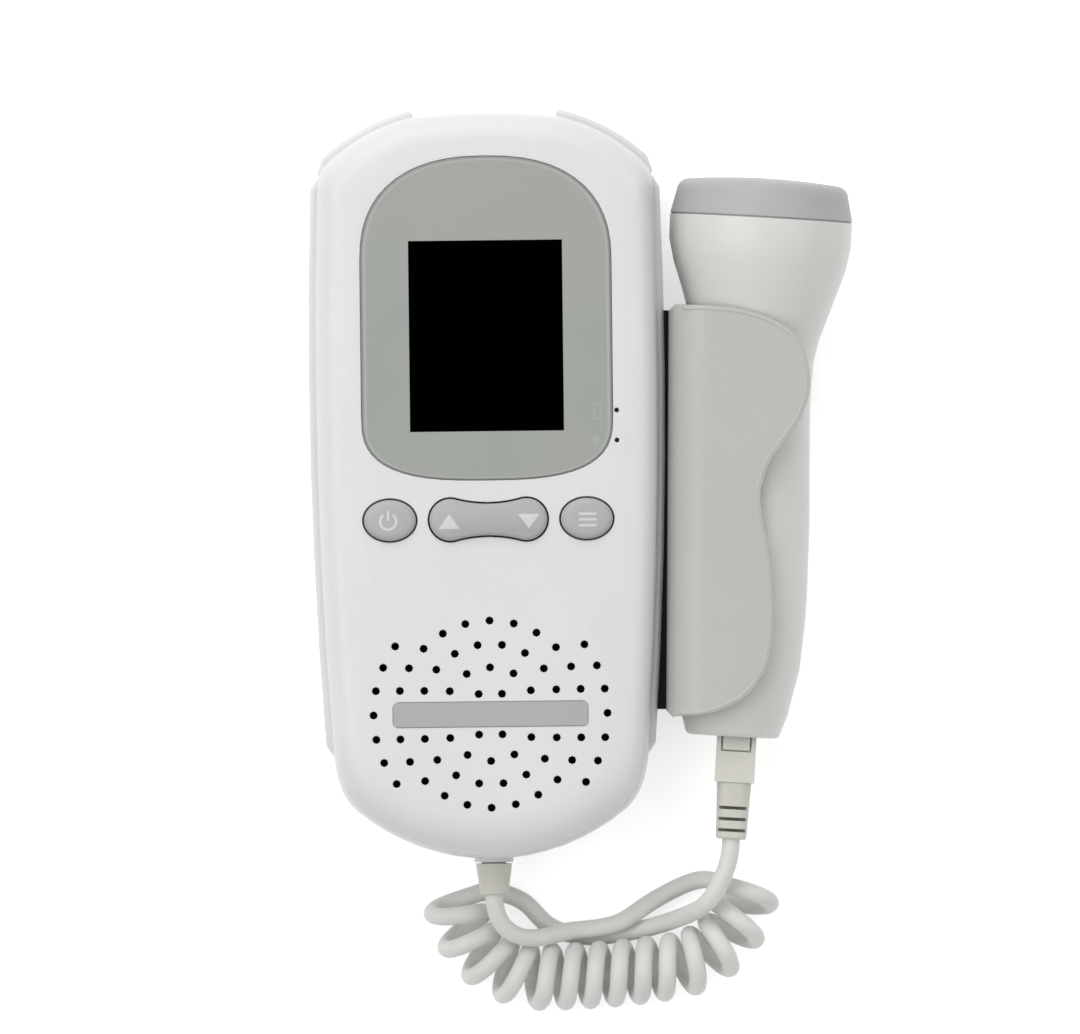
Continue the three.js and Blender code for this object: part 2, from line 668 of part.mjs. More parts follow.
// Front half of the case: window seat, key openings, grille, strip seat, posts, pegs and the rocker's ears
function frontCase() {
  const earX = EAR_HALF_WIDTH;
  const ears = [-1, 1].map((side) => {
    const near = KEY_Y + side * EAR_START_Y;
    const far = near + side * EAR_THICK;
    const low = ROCKER_PIN_Z - ROCKER_PIN_RADIUS - FIT - EAR_THICK;
    return block(-earX, earX, Math.min(near, far), Math.max(near, far), low, INSIDE_TOP + FACE_WALL / 2);
  });
  const seatLow = INSIDE_TOP - SEAT_RING_HEIGHT;
  const seatRing = cut(
    rod(0, SPEAKER_Y, SPEAKER_RADIUS + FIT + SEAT_RING_WALL, seatLow, INSIDE_TOP + FIT, 40),
    rod(0, SPEAKER_Y, SPEAKER_RADIUS + FIT, seatLow - OVERRUN, INSIDE_TOP, 40),
  );
  const posts = screws.map(([x, y]) => rod(x, y, POST_RADIUS, PARTING_Z + SEAM / 2, INSIDE_TOP + FIT, 14));
  const boardPegs = pegs.map(([x, y]) => rod(x, y, PEG_RADIUS, BOARD_TOP_Z + FIT, INSIDE_TOP + FIT, 12));
  const body = join(cut(banded, caseInside), seatRing, ...posts, ...boardPegs, ...ears).intersect(frontHalf);
  const pilots = screws.map(([x, y]) => (
    rod(x, y, SCREW_RADIUS + FIT, PARTING_Z - OVERRUN, PARTING_Z + SCREW_BITE + FIT, 12)
  ));
  const pinBar = rodAlongY(
    0, ROCKER_PIN_Z, ROCKER_PIN_RADIUS + FIT, KEY_Y - ROCKER_WAIST, KEY_Y + ROCKER_WAIST, 12,
  );
  const windowSeat = prism(windowOutline(FIT), LENS_FLOOR, DEPTH + OVERRUN);
  const display = block(
    -DISPLAY_WIDTH / 2, DISPLAY_WIDTH / 2, DISPLAY_Y - DISPLAY_LENGTH / 2, DISPLAY_Y + DISPLAY_LENGTH / 2,
    INSIDE_TOP - OVERRUN, DEPTH,
  );
  const keys = [
    prism(keyOutline(-KEY_X, 0), INSIDE_TOP - OVERRUN, DEPTH + OVERRUN),
    prism(keyOutline(KEY_X, 0), INSIDE_TOP - OVERRUN, DEPTH + OVERRUN),
    prism(rockerOutline(0), INSIDE_TOP - FIT, DEPTH + OVERRUN),
  ];
  const strip = prism(
    roundedRectangle(0, SPEAKER_Y, STRIP_LENGTH + 2 * FIT, STRIP_HEIGHT + 2 * FIT, STRIP_CORNER + FIT),
    STRIP_FLOOR, DEPTH + OVERRUN,
  );
  const lights = [LIGHT_HIGH_Y, LIGHT_LOW_Y].map((y) => (
    rod(LIGHT_X, y, LIGHT_HOLE_RADIUS, INSIDE_TOP - OVERRUN, DEPTH + OVERRUN, 8)
  ));
  const holes = grilleHoles().map((place) => (
    rod(place.x, place.y, GRILLE_HOLE_RADIUS, seatLow - FIT, DEPTH + OVERRUN, 8)
  ));
  return cut(body, ...pilots, pinBar, windowSeat, display, ...keys, strip, ...lights, ...holes);
}

// Rear half of the case: battery bay with its ledge, door opening, screw posts, socket posts and cord exit
function rearCase() {
  const outerBay = block(
    -BAY_HALF - BAY_WALL, BAY_HALF + BAY_WALL, BAY_LOW_Y - BAY_WALL, BAY_TOP_Y + BAY_WALL,
    BACK_WALL / 2, BAY_TOP_Z,
  );
  const ledge = block(
    -DOOR_HALF - BAY_WALL, DOOR_HALF + BAY_WALL, BOTTOM_Y, DOOR_TOP_Y + BAY_WALL, BACK_WALL / 2, LEDGE_TOP_Z,
  ).intersect(caseOutside);
  const posts = screws.map(([x, y]) => rod(x, y, POST_RADIUS, BACK_WALL / 2, PARTING_Z - SEAM / 2, 14));
  const socketPosts = socketPostPlaces.map(([x, y]) => (
    rod(x, y, SOCKET_POST_RADIUS, BACK_WALL / 2, SOCKET_BOARD_LOW - FIT, 12)
  ));
  const holderPosts = [HOLDER_SCREW_HIGH_Y, HOLDER_SCREW_LOW_Y].map((y) => {
    const inner = sideX(y) - SIDE_WALL - HOLDER_SCREW_LENGTH / 2;
    return rodAlongX(y, PROBE_Z, POST_RADIUS, inner, sideX(y), 14).intersect(rearHalf);
  });
  const collar = rodAlongY(
    RELIEF_X, RELIEF_Z, COLLAR_RADIUS, BOTTOM_Y - COLLAR_LENGTH, BOTTOM_Y + SIDE_WALL, 20,
  );
  const shell = cut(banded, caseInside).intersect(rearHalf);
  const body = join(shell, outerBay, ledge, ...posts, ...socketPosts, ...holderPosts, collar);
  const cells = block(-BAY_HALF, BAY_HALF, BAY_LOW_Y, BAY_TOP_Y, LEDGE_TOP_Z, BAY_TOP_Z + OVERRUN);
  const hatch = block(
    -BAY_HALF + LEDGE_WIDTH, BAY_HALF - LEDGE_WIDTH, BAY_LOW_Y + LEDGE_WIDTH, BAY_TOP_Y - LEDGE_WIDTH,
    -OVERRUN, LEDGE_TOP_Z + OVERRUN,
  );
  const doorSeat = block(
    -DOOR_HALF - FIT, DOOR_HALF + FIT, BOTTOM_Y - OVERRUN, DOOR_TOP_Y + FIT, -OVERRUN, DOOR_TOP_Z + FIT,
  );
  const screwHoles = screws.flatMap(([x, y]) => [
    rod(x, y, SCREW_RADIUS + FIT, -OVERRUN, PARTING_Z + OVERRUN, 12),
    rod(x, y, SCREW_HEAD_RADIUS + FIT, -OVERRUN, SCREW_SINK + SCREW_HEAD_THICK + FIT, 16),
  ]);
  const holderHoles = [HOLDER_SCREW_HIGH_Y, HOLDER_SCREW_LOW_Y].map((y) => {
    const inner = sideX(y) - HOLDER_SCREW_LENGTH - OVERRUN;
    return rodAlongX(y, PROBE_Z, SCREW_RADIUS + FIT, inner, HALF_WIDTH + OVERRUN, 12);
  });
  const jackHole = rodAlongY(
    JACK_X, SOCKET_Z, JACK_BODY_RADIUS + FIT, TOP_Y - 2 * SIDE_WALL, TOP_Y + OVERRUN, 16,
  );
  const portHole = block(
    PORT_X - PORT_WIDTH / 2 - FIT, PORT_X + PORT_WIDTH / 2 + FIT, TOP_Y - 2 * SIDE_WALL, TOP_Y + OVERRUN,
    PORT_Z - PORT_HEIGHT / 2 - FIT, PORT_Z + PORT_HEIGHT / 2 + FIT,
  );
  const cordHole = rodAlongY(
    RELIEF_X, RELIEF_Z, RELIEF_NECK_RADIUS + FIT, BOTTOM_Y - OVERRUN, BOTTOM_Y + 2 * SIDE_WALL, 14,
  );
  return cut(body, cells, hatch, doorSeat, ...screwHoles, ...holderHoles, jackHole, portHole, cordHole);
}

// Sliding battery door: it carries on the back's curve at the bottom end and has grip grooves
function batteryDoor() {
  const sheet = block(-DOOR_HALF, DOOR_HALF, BOTTOM_Y - OVERRUN, DOOR_TOP_Y, DOOR_LIFT, DOOR_TOP_Z);
  const grooves = Array.from({ length: GRIP_GROOVES }, (_, i) => {
    const y = GRIP_Y - i * GRIP_PITCH;
    return block(
      -GRIP_GROOVE_LENGTH / 2, GRIP_GROOVE_LENGTH / 2, y - GRIP_GROOVE_WIDTH / 2, y + GRIP_GROOVE_WIDTH / 2,
      DOOR_LIFT - OVERRUN, DOOR_LIFT + GRIP_GROOVE_DEEP,
    );
  });
  return cut(caseOutside.intersect(sheet), ...grooves);
}

// Lens over the display, with a bevelled top edge
function windowLens() {
  const low = LENS_FLOOR + FIT;
  const top = DEPTH + WINDOW_PROUD;
  const bevelX = 1 - WINDOW_BEVEL / WINDOW_HALF_WIDTH;
  const centreY = (WINDOW_TOP_Y + WINDOW_BOTTOM_Y) / 2;
  const bevelY = 1 - WINDOW_BEVEL / (WINDOW_TOP_Y - centreY);
  const centre = new THREE.Vector2(0, centreY);
  return loft(windowOutline(0), [[low, 1, 1], [top - WINDOW_BEVEL, 1, 1], [top, bevelX, bevelY]], centre);
}

// A key cap with a crowned top, a flange behind the wall and a stem over its switch
function singleKey(x) {
  const centre = new THREE.Vector2(x, KEY_Y);
  const half = KEY_WIDTH / 2 - KEY_GAP;
  const wide = 1 + KEY_FLANGE / half;
  const top = DEPTH + KEY_PROUD;
  const cap = loft(keyOutline(x, -KEY_GAP), [
    [KEY_FLANGE_LOW, wide, wide], [KEY_FLANGE_TOP, wide, wide], [KEY_FLANGE_TOP, 1, 1],
    ...keyCrownShares.map(([down, across]) => [top - KEY_PROUD * down, across, across]),
  ], centre);
  return join(cap, rod(x, KEY_Y, KEY_STEM_RADIUS, KEY_STEM_LOW, KEY_FLANGE_LOW + KEY_FLANGE_THICK / 2, 12));
}

// The rocker: one cap on two trunnion pins
function rockerKey() {
  const top = DEPTH + KEY_PROUD;
  const centre = new THREE.Vector2(0, KEY_Y);
  const low = ROCKER_PIN_Z - ROCKER_PIN_RADIUS;
  const cap = loft(rockerOutline(-KEY_GAP), [
    [low, 1, 1],
    ...rockerCrownShares.map(([down, long, high]) => [top - KEY_PROUD * down, long, high]),
  ], centre);
  const reach = ROCKER_WAIST / 2 - KEY_GAP + ROCKER_PIN_LENGTH;
  return join(cap, rodAlongY(0, ROCKER_PIN_Z, ROCKER_PIN_RADIUS, KEY_Y - reach, KEY_Y + reach, 12));
}

function tactSwitch(x) {
  const half = SWITCH_SIZE / 2;
  const top = SWITCH_LOW_Z + SWITCH_HEIGHT;
  const body = block(x - half, x + half, KEY_Y - half, KEY_Y + half, SWITCH_LOW_Z, top);
  return join(body, rod(x, KEY_Y, PLUNGER_RADIUS, top - PLUNGER_HEIGHT, PLUNGER_TOP_Z, 14));
}

function labelStrip() {
  const top = DEPTH + STRIP_PROUD;
  const outline = roundedRectangle(0, SPEAKER_Y, STRIP_LENGTH, STRIP_HEIGHT, STRIP_CORNER);
  return prism(outline, top - STRIP_THICK, top);
}

// Display: a metal frame on the board, with the backlight and the panel inside it
const LCD_LOW_Z = BOARD_TOP_Z + FIT;
const LCD_TOP_Z = INSIDE_TOP - FIT;

function lcdBezel() {
  const width = DISPLAY_WIDTH + 2 * FIT;
  const length = DISPLAY_LENGTH + 2 * FIT;
  const outer = roundedRectangle(0, DISPLAY_Y, width + 2 * LCD_RIM, length + 2 * LCD_RIM, LCD_RIM / 2);
  const inner = roundedRectangle(0, DISPLAY_Y, width, length, FIT);
  return cut(prism(outer, LCD_LOW_Z, LCD_TOP_Z), prism(inner, LCD_LOW_Z - OVERRUN, LCD_TOP_Z + OVERRUN));
}

function lcdLayer(low, high) {
  const half = DISPLAY_LENGTH / 2;
  return block(-DISPLAY_WIDTH / 2, DISPLAY_WIDTH / 2, DISPLAY_Y - half, DISPLAY_Y + half, low, high);
}

function mainBoard() {
  const middle = (BOARD_LOW_Y + BOARD_HIGH_Y) / 2;
  const length = BOARD_HIGH_Y - BOARD_LOW_Y;
  const outline = roundedRectangle(0, middle, 2 * BOARD_HALF_WIDTH, length, BOARD_CORNER);
  return prism(outline, BOARD_TOP_Z - BOARD_THICK, BOARD_TOP_Z);
}

function chip(y, size) {
  const top = BOARD_TOP_Z - BOARD_THICK - FIT;
  return block(-size / 2, size / 2, y - size / 2, y + size / 2, top - CHIP_THICK, top);
}

// Two light pins on one foot, one behind each small hole beside the window
function lightPipe() {
  const foot = BOARD_TOP_Z + FIT;
  const bar = block(
    LIGHT_X - LIGHT_PIN_RADIUS, LIGHT_X + LIGHT_PIN_RADIUS, LIGHT_LOW_Y - LIGHT_PIN_RADIUS,
    LIGHT_HIGH_Y + LIGHT_PIN_RADIUS, foot, foot + LIGHT_FOOT_THICK,
  );
  const pins = [LIGHT_LOW_Y, LIGHT_HIGH_Y].map((y) => (
    rod(LIGHT_X, y, LIGHT_PIN_RADIUS - FIT / 2, foot, INSIDE_TOP - FIT, 10)
  ));
  return join(bar, ...pins);
}

// Speaker: basket, cone with its dust cap, and magnet, facing the grille
const SPEAKER_FACE_Z = INSIDE_TOP - FIT;
const SPEAKER_SPACE = SPEAKER_FACE_Z - BAY_TOP_Z;
const basketShare = 0.476;
const magnetShare = 0.298;
const SPEAKER_FLOOR_Z = SPEAKER_FACE_Z - SPEAKER_SPACE * basketShare;

function speakerBasket() {
  const rimLow = SPEAKER_FACE_Z - SPEAKER_RIM_THICK;
  const inner = SPEAKER_RADIUS - SPEAKER_RIM;
  const bore = MAGNET_RADIUS / 2;
  const floorTop = SPEAKER_FLOOR_Z + SPEAKER_SHEET;
  const geometry = turned([
    [bore, SPEAKER_FLOOR_Z], [MAGNET_RADIUS, SPEAKER_FLOOR_Z], [inner, rimLow], [SPEAKER_RADIUS, rimLow],
    [SPEAKER_RADIUS, SPEAKER_FACE_Z], [inner, SPEAKER_FACE_Z], [inner - SPEAKER_SHEET, rimLow],
    [MAGNET_RADIUS - SPEAKER_SHEET / 2, floorTop], [bore, floorTop], [bore, SPEAKER_FLOOR_Z],
  ], 28);
  geometry.translate(0, SPEAKER_Y, 0);
  return geometry;
}

function speakerCone() {
  const rim = SPEAKER_RADIUS - SPEAKER_RIM - SPEAKER_SHEET - 2 * FIT;
  const high = SPEAKER_FACE_Z - SPEAKER_RIM_THICK / 2;
  const low = SPEAKER_FLOOR_Z + SPEAKER_SHEET + 2 * FIT;
  const capRadius = MAGNET_RADIUS / 2;
  const dustCapShares = [[1, 0.4], [0.5, 0.6], [0, 0.68]];
  const geometry = turned([
    [0, low], [capRadius, low], [rim, high - SPEAKER_SHEET / 2], [rim, high],
    ...dustCapShares.map(([across, up]) => [capRadius * across, low + (high - low) * up]),
  ], 24);
  geometry.translate(0, SPEAKER_Y, 0);
  return geometry;
}

function speakerMagnet() {
  const top = SPEAKER_FLOOR_Z - FIT;
  const low = top - SPEAKER_SPACE * magnetShare;
  const edge = SPEAKER_SHEET / 2;
  const geometry = turned([
    [0, low], [MAGNET_RADIUS - edge, low], [MAGNET_RADIUS, low + edge], [MAGNET_RADIUS, top], [0, top],
  ], 28);
  geometry.translate(0, SPEAKER_Y, 0);
  return geometry;
}

// Two cells side by side, nose to tail, with their contacts in the bay
function cell(side) {
  const x = side * (CELL_RADIUS + FIT / 2);
  const start = BAY_LOW_Y + CONTACT_THICK + 2 * FIT;
  const noseUp = side < 0;
  const bodyLow = start + (noseUp ? CONTACT_SPRING : CELL_NUB);
  const bodyHigh = bodyLow + CELL_LENGTH;
  const body = rodAlongY(x, CELL_Z, CELL_RADIUS, bodyLow, bodyHigh, 20);
  const nub = noseUp
    ? rodAlongY(x, CELL_Z, CELL_NUB_RADIUS, bodyHigh - CELL_NUB, bodyHigh + CELL_NUB - FIT / 2, 12)
    : rodAlongY(x, CELL_Z, CELL_NUB_RADIUS, bodyLow - CELL_NUB + FIT / 2, bodyLow + CELL_NUB, 12);
  return join(body, nub);
}

// A contact plate of a given side of the bay; a sprung one has a stepped cone for its coil
function contactPlate(lowX, highX, atTop, springX) {
  const wall = atTop ? BAY_TOP_Y - FIT : BAY_LOW_Y + FIT;
  const inward = atTop ? -1 : 1;
  const face = wall + inward * CONTACT_THICK;
  const half = CELL_RADIUS - RUNNING_FIT;
  const plate = block(lowX, highX, Math.min(wall, face), Math.max(wall, face), CELL_Z - half, CELL_Z + half);
  if (springX === undefined) {
    return plate;
  }
  const length = CONTACT_SPRING - FIT;
  const cone = new THREE.CylinderGeometry(
    CONTACT_SPRING_RADIUS / 2, CONTACT_SPRING_RADIUS, length + CONTACT_THICK / 2, 14,
  );
  cone.rotateZ(atTop ? 2 * QUARTER : 0);
  cone.translate(springX, face + inward * (length / 2 - CONTACT_THICK / 4), CELL_Z);
  return join(plate, solid(cone));
}

// Case screws stand in their posts with sunk slotted heads
function caseScrew([x, y]) {
  const geometry = turned([
    [0, SCREW_SINK], [SCREW_HEAD_RADIUS, SCREW_SINK], [SCREW_HEAD_RADIUS, SCREW_SINK + SCREW_HEAD_THICK],
    [SCREW_RADIUS, SCREW_SINK + SCREW_HEAD_THICK], [SCREW_RADIUS, PARTING_Z + SCREW_BITE - SCREW_RADIUS],
    [0, PARTING_Z + SCREW_BITE],
  ], 16);
  geometry.translate(x, y, 0);
  const slot = block(
    x - SCREW_SLOT_LENGTH / 2, x + SCREW_SLOT_LENGTH / 2, y - SCREW_SLOT / 2, y + SCREW_SLOT / 2,
    SCREW_SINK - OVERRUN, SCREW_SINK + SCREW_HEAD_THICK / 2,
  );
  return cut(solid(geometry), slot);
}

// Sockets on a small board under the top recess
const SOCKET_BOARD_TOP = SOCKET_Z - JACK_BODY_RADIUS - FIT;
const SOCKET_BOARD_LOW = SOCKET_BOARD_TOP - SOCKET_BOARD_THICK;
const PORT_Z = SOCKET_BOARD_TOP + FIT + PORT_HEIGHT / 2;
const SOCKET_FACE_Y = TOP_Y - RECESS_SKIN;
const SOCKET_BOARD_HIGH_Y = TOP_Y - SIDE_WALL - SOCKET_POST_RADIUS;
const socketPostShares = [0.25, 0.8];
const socketPostPlaces = [-1, 1].flatMap((side) => socketPostShares.map((share) => [
  side * (SOCKET_BOARD_WIDTH / 2 - SOCKET_POST_RADIUS), SOCKET_BOARD_HIGH_Y - share * SOCKET_BOARD_LENGTH,
]));

function socketBoard() {
  const middle = SOCKET_BOARD_HIGH_Y - SOCKET_BOARD_LENGTH / 2;
  const outline = roundedRectangle(0, middle, SOCKET_BOARD_WIDTH, SOCKET_BOARD_LENGTH, SOCKET_BOARD_THICK);
  return prism(outline, SOCKET_BOARD_LOW, SOCKET_BOARD_TOP);
}

function earphoneJack() {
  const body = rodAlongY(JACK_X, SOCKET_Z, JACK_BODY_RADIUS, SOCKET_FACE_Y - JACK_LENGTH, SOCKET_FACE_Y, 18);
  const deep = SOCKET_FACE_Y - JACK_LENGTH + SIDE_WALL;
  return cut(body, rodAlongY(JACK_X, SOCKET_Z, JACK_HOLE_RADIUS, deep, SOCKET_FACE_Y + OVERRUN, 14));
}

function chargePort() {
  const half = PORT_WIDTH / 2;
  const high = PORT_HEIGHT / 2;
  const back = SOCKET_FACE_Y - PORT_LENGTH;
  const shell = cut(
    block(PORT_X - half, PORT_X + half, back, SOCKET_FACE_Y, PORT_Z - high, PORT_Z + high),
    block(
      PORT_X - half + PORT_WALL, PORT_X + half - PORT_WALL, back + PORT_WALL, SOCKET_FACE_Y + OVERRUN,
      PORT_Z - high + PORT_WALL, PORT_Z + high - PORT_WALL,
    ),
  );
  const tongue = block(
    PORT_X - half / 2, PORT_X + half / 2, back, SOCKET_FACE_Y - PORT_WALL,
    PORT_Z - PORT_WALL / 2, PORT_Z + PORT_WALL / 2,
  );
  return join(shell, tongue);
}

// Probe stations give its half width and sideways shift at any way down the axis
function probeStation(down) {
  const share = Math.min(Math.max(down / PROBE_LENGTH, 0), 1);
  const next = Math.max(1, probeStationShares.findIndex(([at]) => at >= share));
  const [fromAt, fromWide, fromShift] = probeStationShares[next - 1];
  const [toAt, toWide, toShift] = probeStationShares[next];
  const part = (share - fromAt) / (toAt - fromAt);
  const smooth = THREE.MathUtils.lerp(part, part * part * (3 - 2 * part), PROBE_EASE_SHARE);
  return {
    half: HEAD_RADIUS * THREE.MathUtils.lerp(fromWide, toWide, smooth),
    shift: HEAD_RADIUS * THREE.MathUtils.lerp(fromShift, toShift, part),
  };
}

// In the probe's own frame its axis is z, with the face at z = 0 and the handle below
function probeRings(fromDown, toDown, count, inset, sides) {
  return Array.from({ length: count + 1 }, (_, i) => {
    const down = toDown + (fromDown - toDown) * i / count;
    const { half, shift } = probeStation(down);
    const ring = ellipse(shift, 0, half - inset, half - inset, sides);
    return ring.map((point) => new THREE.Vector3(point.x, point.y, -down));
  });
}

// Outer radius of the cap's spigot, which the housing's mouth is bored for
function spigotRadius() {
  return probeStation(CAP_HEIGHT + CAP_SPIGOT).half - PROBE_WALL - FIT;
}

function probeHousing() {
  const sides = 28;
  const shellTop = CAP_HEIGHT + FIT;
  const steps = 22;
  const boreSides = 16;
  const boreSteps = 14;
  const hull = probeRings(shellTop, PROBE_LENGTH, steps, 0, sides);
  const insideEnd = PROBE_LENGTH - PROBE_WALL;
  const bore = probeRings(shellTop - OVERRUN, insideEnd, boreSteps, PROBE_WALL, boreSides);
  const mouth = block(
    SOCKET_SHIFT - SOCKET_WIDTH / 2 - FIT, SOCKET_SHIFT + SOCKET_WIDTH / 2 + FIT,
    -SOCKET_HEIGHT / 2 - FIT, SOCKET_HEIGHT / 2 + FIT,
    -PROBE_LENGTH - OVERRUN, -PROBE_LENGTH + PROBE_WALL + OVERRUN,
  );
  const seat = rod(0, 0, spigotRadius() + FIT, -CAP_HEIGHT - CAP_SPIGOT - FIT, 0, sides);
  const shell = solid(skin(hull, ellipse(0, 0, 1, 1, sides)));
  return cut(shell, solid(skin(bore, ellipse(0, 0, 1, 1, boreSides))), seat, mouth);
}

// Cap of the head: a slightly crowned face, a round rim, and a spigot that sits inside the housing
function probeCap() {
  const rim = probeStation(0).half;
  const low = probeStation(CAP_HEIGHT).half;
  const spigot = spigotRadius();
  const bore = spigot - PROBE_WALL;
  const cornerSteps = 4;
  const corner = Array.from({ length: cornerSteps + 1 }, (_, i) => {
    const angle = QUARTER * i / cornerSteps;
    const up = CAP_ROUND_HEIGHT * (Math.sin(angle) - 1);
    return [rim - CAP_ROUND * (1 - Math.cos(angle)), FACE_DOME - CAP_CROWN + up];
  });
  const radiusShares = [0.75, 0.5, 0.25, 0];
  const end = -CAP_HEIGHT - CAP_SPIGOT;
  return turned([
    [bore, -PROBE_WALL], [bore, end], [spigot, end], [spigot, -CAP_HEIGHT], [low, -CAP_HEIGHT],
    ...corner,
    ...radiusShares.map((share) => [(rim - CAP_ROUND) * share, FACE_DOME - CAP_CROWN * share ** 2]),
    [0, -PROBE_WALL], [bore, -PROBE_WALL],
  ], 36);
}

function crystal(side) {
  const top = -PROBE_WALL - FIT;
  const disc = rod(0, 0, CRYSTAL_RADIUS, top - CRYSTAL_THICK, top, 28);
  const near = side * CRYSTAL_SPLIT / 2;
  const far = side * 2 * CRYSTAL_RADIUS;
  const reach = HEAD_RADIUS;
  const half = block(Math.min(near, far), Math.max(near, far), -reach, reach, -reach, reach);
  return disc.intersect(half);
}

function backingFoam() {
  const top = -PROBE_WALL - CRYSTAL_THICK - 2 * FIT;
  return rod(0, 0, CRYSTAL_RADIUS, top - FOAM_THICK, top, 24);
}

// The board is as wide as the handle's narrowest part lets it slide in
function probeBoard() {
  const checks = 12;
  const stations = Array.from({ length: checks + 1 }, (_, i) => (
    probeStation(PROBE_BOARD_DOWN + PROBE_BOARD_LENGTH * i / checks)
  ));
  const left = Math.max(...stations.map(({ half, shift }) => shift - half)) + PROBE_WALL + RUNNING_FIT;
  const right = Math.min(...stations.map(({ half, shift }) => shift + half)) - PROBE_WALL - RUNNING_FIT;
  return block(
    left, right, -BOARD_THICK / 2, BOARD_THICK / 2,
    -PROBE_BOARD_DOWN - PROBE_BOARD_LENGTH, -PROBE_BOARD_DOWN,
  );
}

// Socket in the handle's end, and the plug that sits in it
function probeSocket() {
  const low = -PROBE_LENGTH;
  const top = low + SOCKET_LENGTH;
  const half = SOCKET_WIDTH / 2;
  const high = SOCKET_HEIGHT / 2;
  const body = block(SOCKET_SHIFT - half, SOCKET_SHIFT + half, -high, high, low, top);
  const bore = block(
    SOCKET_SHIFT - PLUG_WIDTH / 2 - FIT, SOCKET_SHIFT + PLUG_WIDTH / 2 + FIT,
    -PLUG_HEIGHT / 2 - FIT - LATCH_DEEP, PLUG_HEIGHT / 2 + FIT, low - OVERRUN, low + PLUG_INSIDE + FIT,
  );
  return cut(body, bore);
}

function plugBody() {
  const low = -PROBE_LENGTH - PLUG_OUTSIDE;
  const top = -PROBE_LENGTH + PLUG_INSIDE;
  const half = PLUG_WIDTH / 2;
  const body = block(SOCKET_SHIFT - half, SOCKET_SHIFT + half, -PLUG_HEIGHT / 2, PLUG_HEIGHT / 2, low, top);
  const channel = block(
    SOCKET_SHIFT - LATCH_WIDTH / 2 - FIT, SOCKET_SHIFT + LATCH_WIDTH / 2 + FIT,
    -PLUG_HEIGHT / 2 - OVERRUN, -PLUG_HEIGHT / 2 + LATCH_THICK, top - LATCH_LENGTH, top + OVERRUN,
  );
  return cut(body, channel);
}

function plugLatch() {
  const top = -PROBE_LENGTH + PLUG_INSIDE;
  return block(
    SOCKET_SHIFT - LATCH_WIDTH / 2, SOCKET_SHIFT + LATCH_WIDTH / 2,
    -PLUG_HEIGHT / 2 - FIT, -PLUG_HEIGHT / 2 + LATCH_THICK - FIT, top - LATCH_LENGTH + FIT, top - FIT,
  );
}

// Strain boot: a tapering sleeve with slots across its front and back
function plugBoot() {
  const top = -PROBE_LENGTH - PLUG_OUTSIDE - FIT;
  const width = (down) => THREE.MathUtils.lerp(BOOT_TOP_WIDTH, BOOT_END_WIDTH, down / BOOT_LENGTH) / 2;
  const cornerShare = 0.7;
  const cornerSteps = 6;
  const span = 2;
  const outline = roundedRectangle(0, 0, span, span * BOOT_HEIGHT_RATIO, cornerShare, cornerSteps);
  const rings = [BOOT_LENGTH, 0].map((down) => outline.map((point) => new THREE.Vector3(
    SOCKET_SHIFT + point.x * width(down), point.y * width(down), top - down,
  )));
  const slots = Array.from({ length: BOOT_GROOVES }, (_, i) => {
    const down = BOOT_FIRST_GROOVE + i * BOOT_GROOVE_PITCH;
    const half = width(down) * BOOT_SLOT_SHARE;
    const bed = width(down) * BOOT_HEIGHT_RATIO - BOOT_GROOVE_DEEP;
    const far = bed + OVERRUN;
    const [left, right] = [SOCKET_SHIFT - half, SOCKET_SHIFT + half];
    const low = top - down - BOOT_GROOVE_WIDTH;
    return [
      block(left, right, bed, far, low, top - down), block(left, right, -far, -bed, low, top - down),
    ];
  });
  return cut(solid(skin(rings, outline)), ...slots.flat());
}

// Holder, in its own frame: x from its side against the unit, y along it, z as the unit's
const holderMatrix = new THREE.Matrix4().makeRotationZ(-HOLDER_TURN)
  .setPosition(sideX(HOLDER_Y) + BAND_PROUD + HOLDER_GAP, HOLDER_Y, PROBE_Z);
const holderInverse = holderMatrix.clone().invert();

function probeDownAt(y) {
  return (PROBE_Y - y) / Math.cos(PROBE_TURN);
}

// The channel that the handle lies in: a half-round bed that follows the handle, open toward +x
function channelRing(y, sides) {
  const down = probeDownAt(y);
  const { half, shift } = probeStation(down);
  const axisX = PROBE_X - (PROBE_Y - y) * Math.tan(PROBE_TURN);
  const left = half - shift + CHANNEL_FIT;
  const high = Math.max(CHANNEL_HALF, half + CHANNEL_FIT);
  const far = PROBE_X + HOLDER_REACH;
  const arc = Array.from({ length: sides + 1 }, (_, i) => {
    const angle = QUARTER + 2 * QUARTER * i / sides;
    return new THREE.Vector3(axisX + left * Math.cos(angle), y, high * Math.sin(angle));
  });
  return [new THREE.Vector3(far, y, high), ...arc, new THREE.Vector3(far, y, -high)]
    .map((point) => new THREE.Vector3(point.x, point.y, point.z + PROBE_Z).applyMatrix4(holderInverse));
}

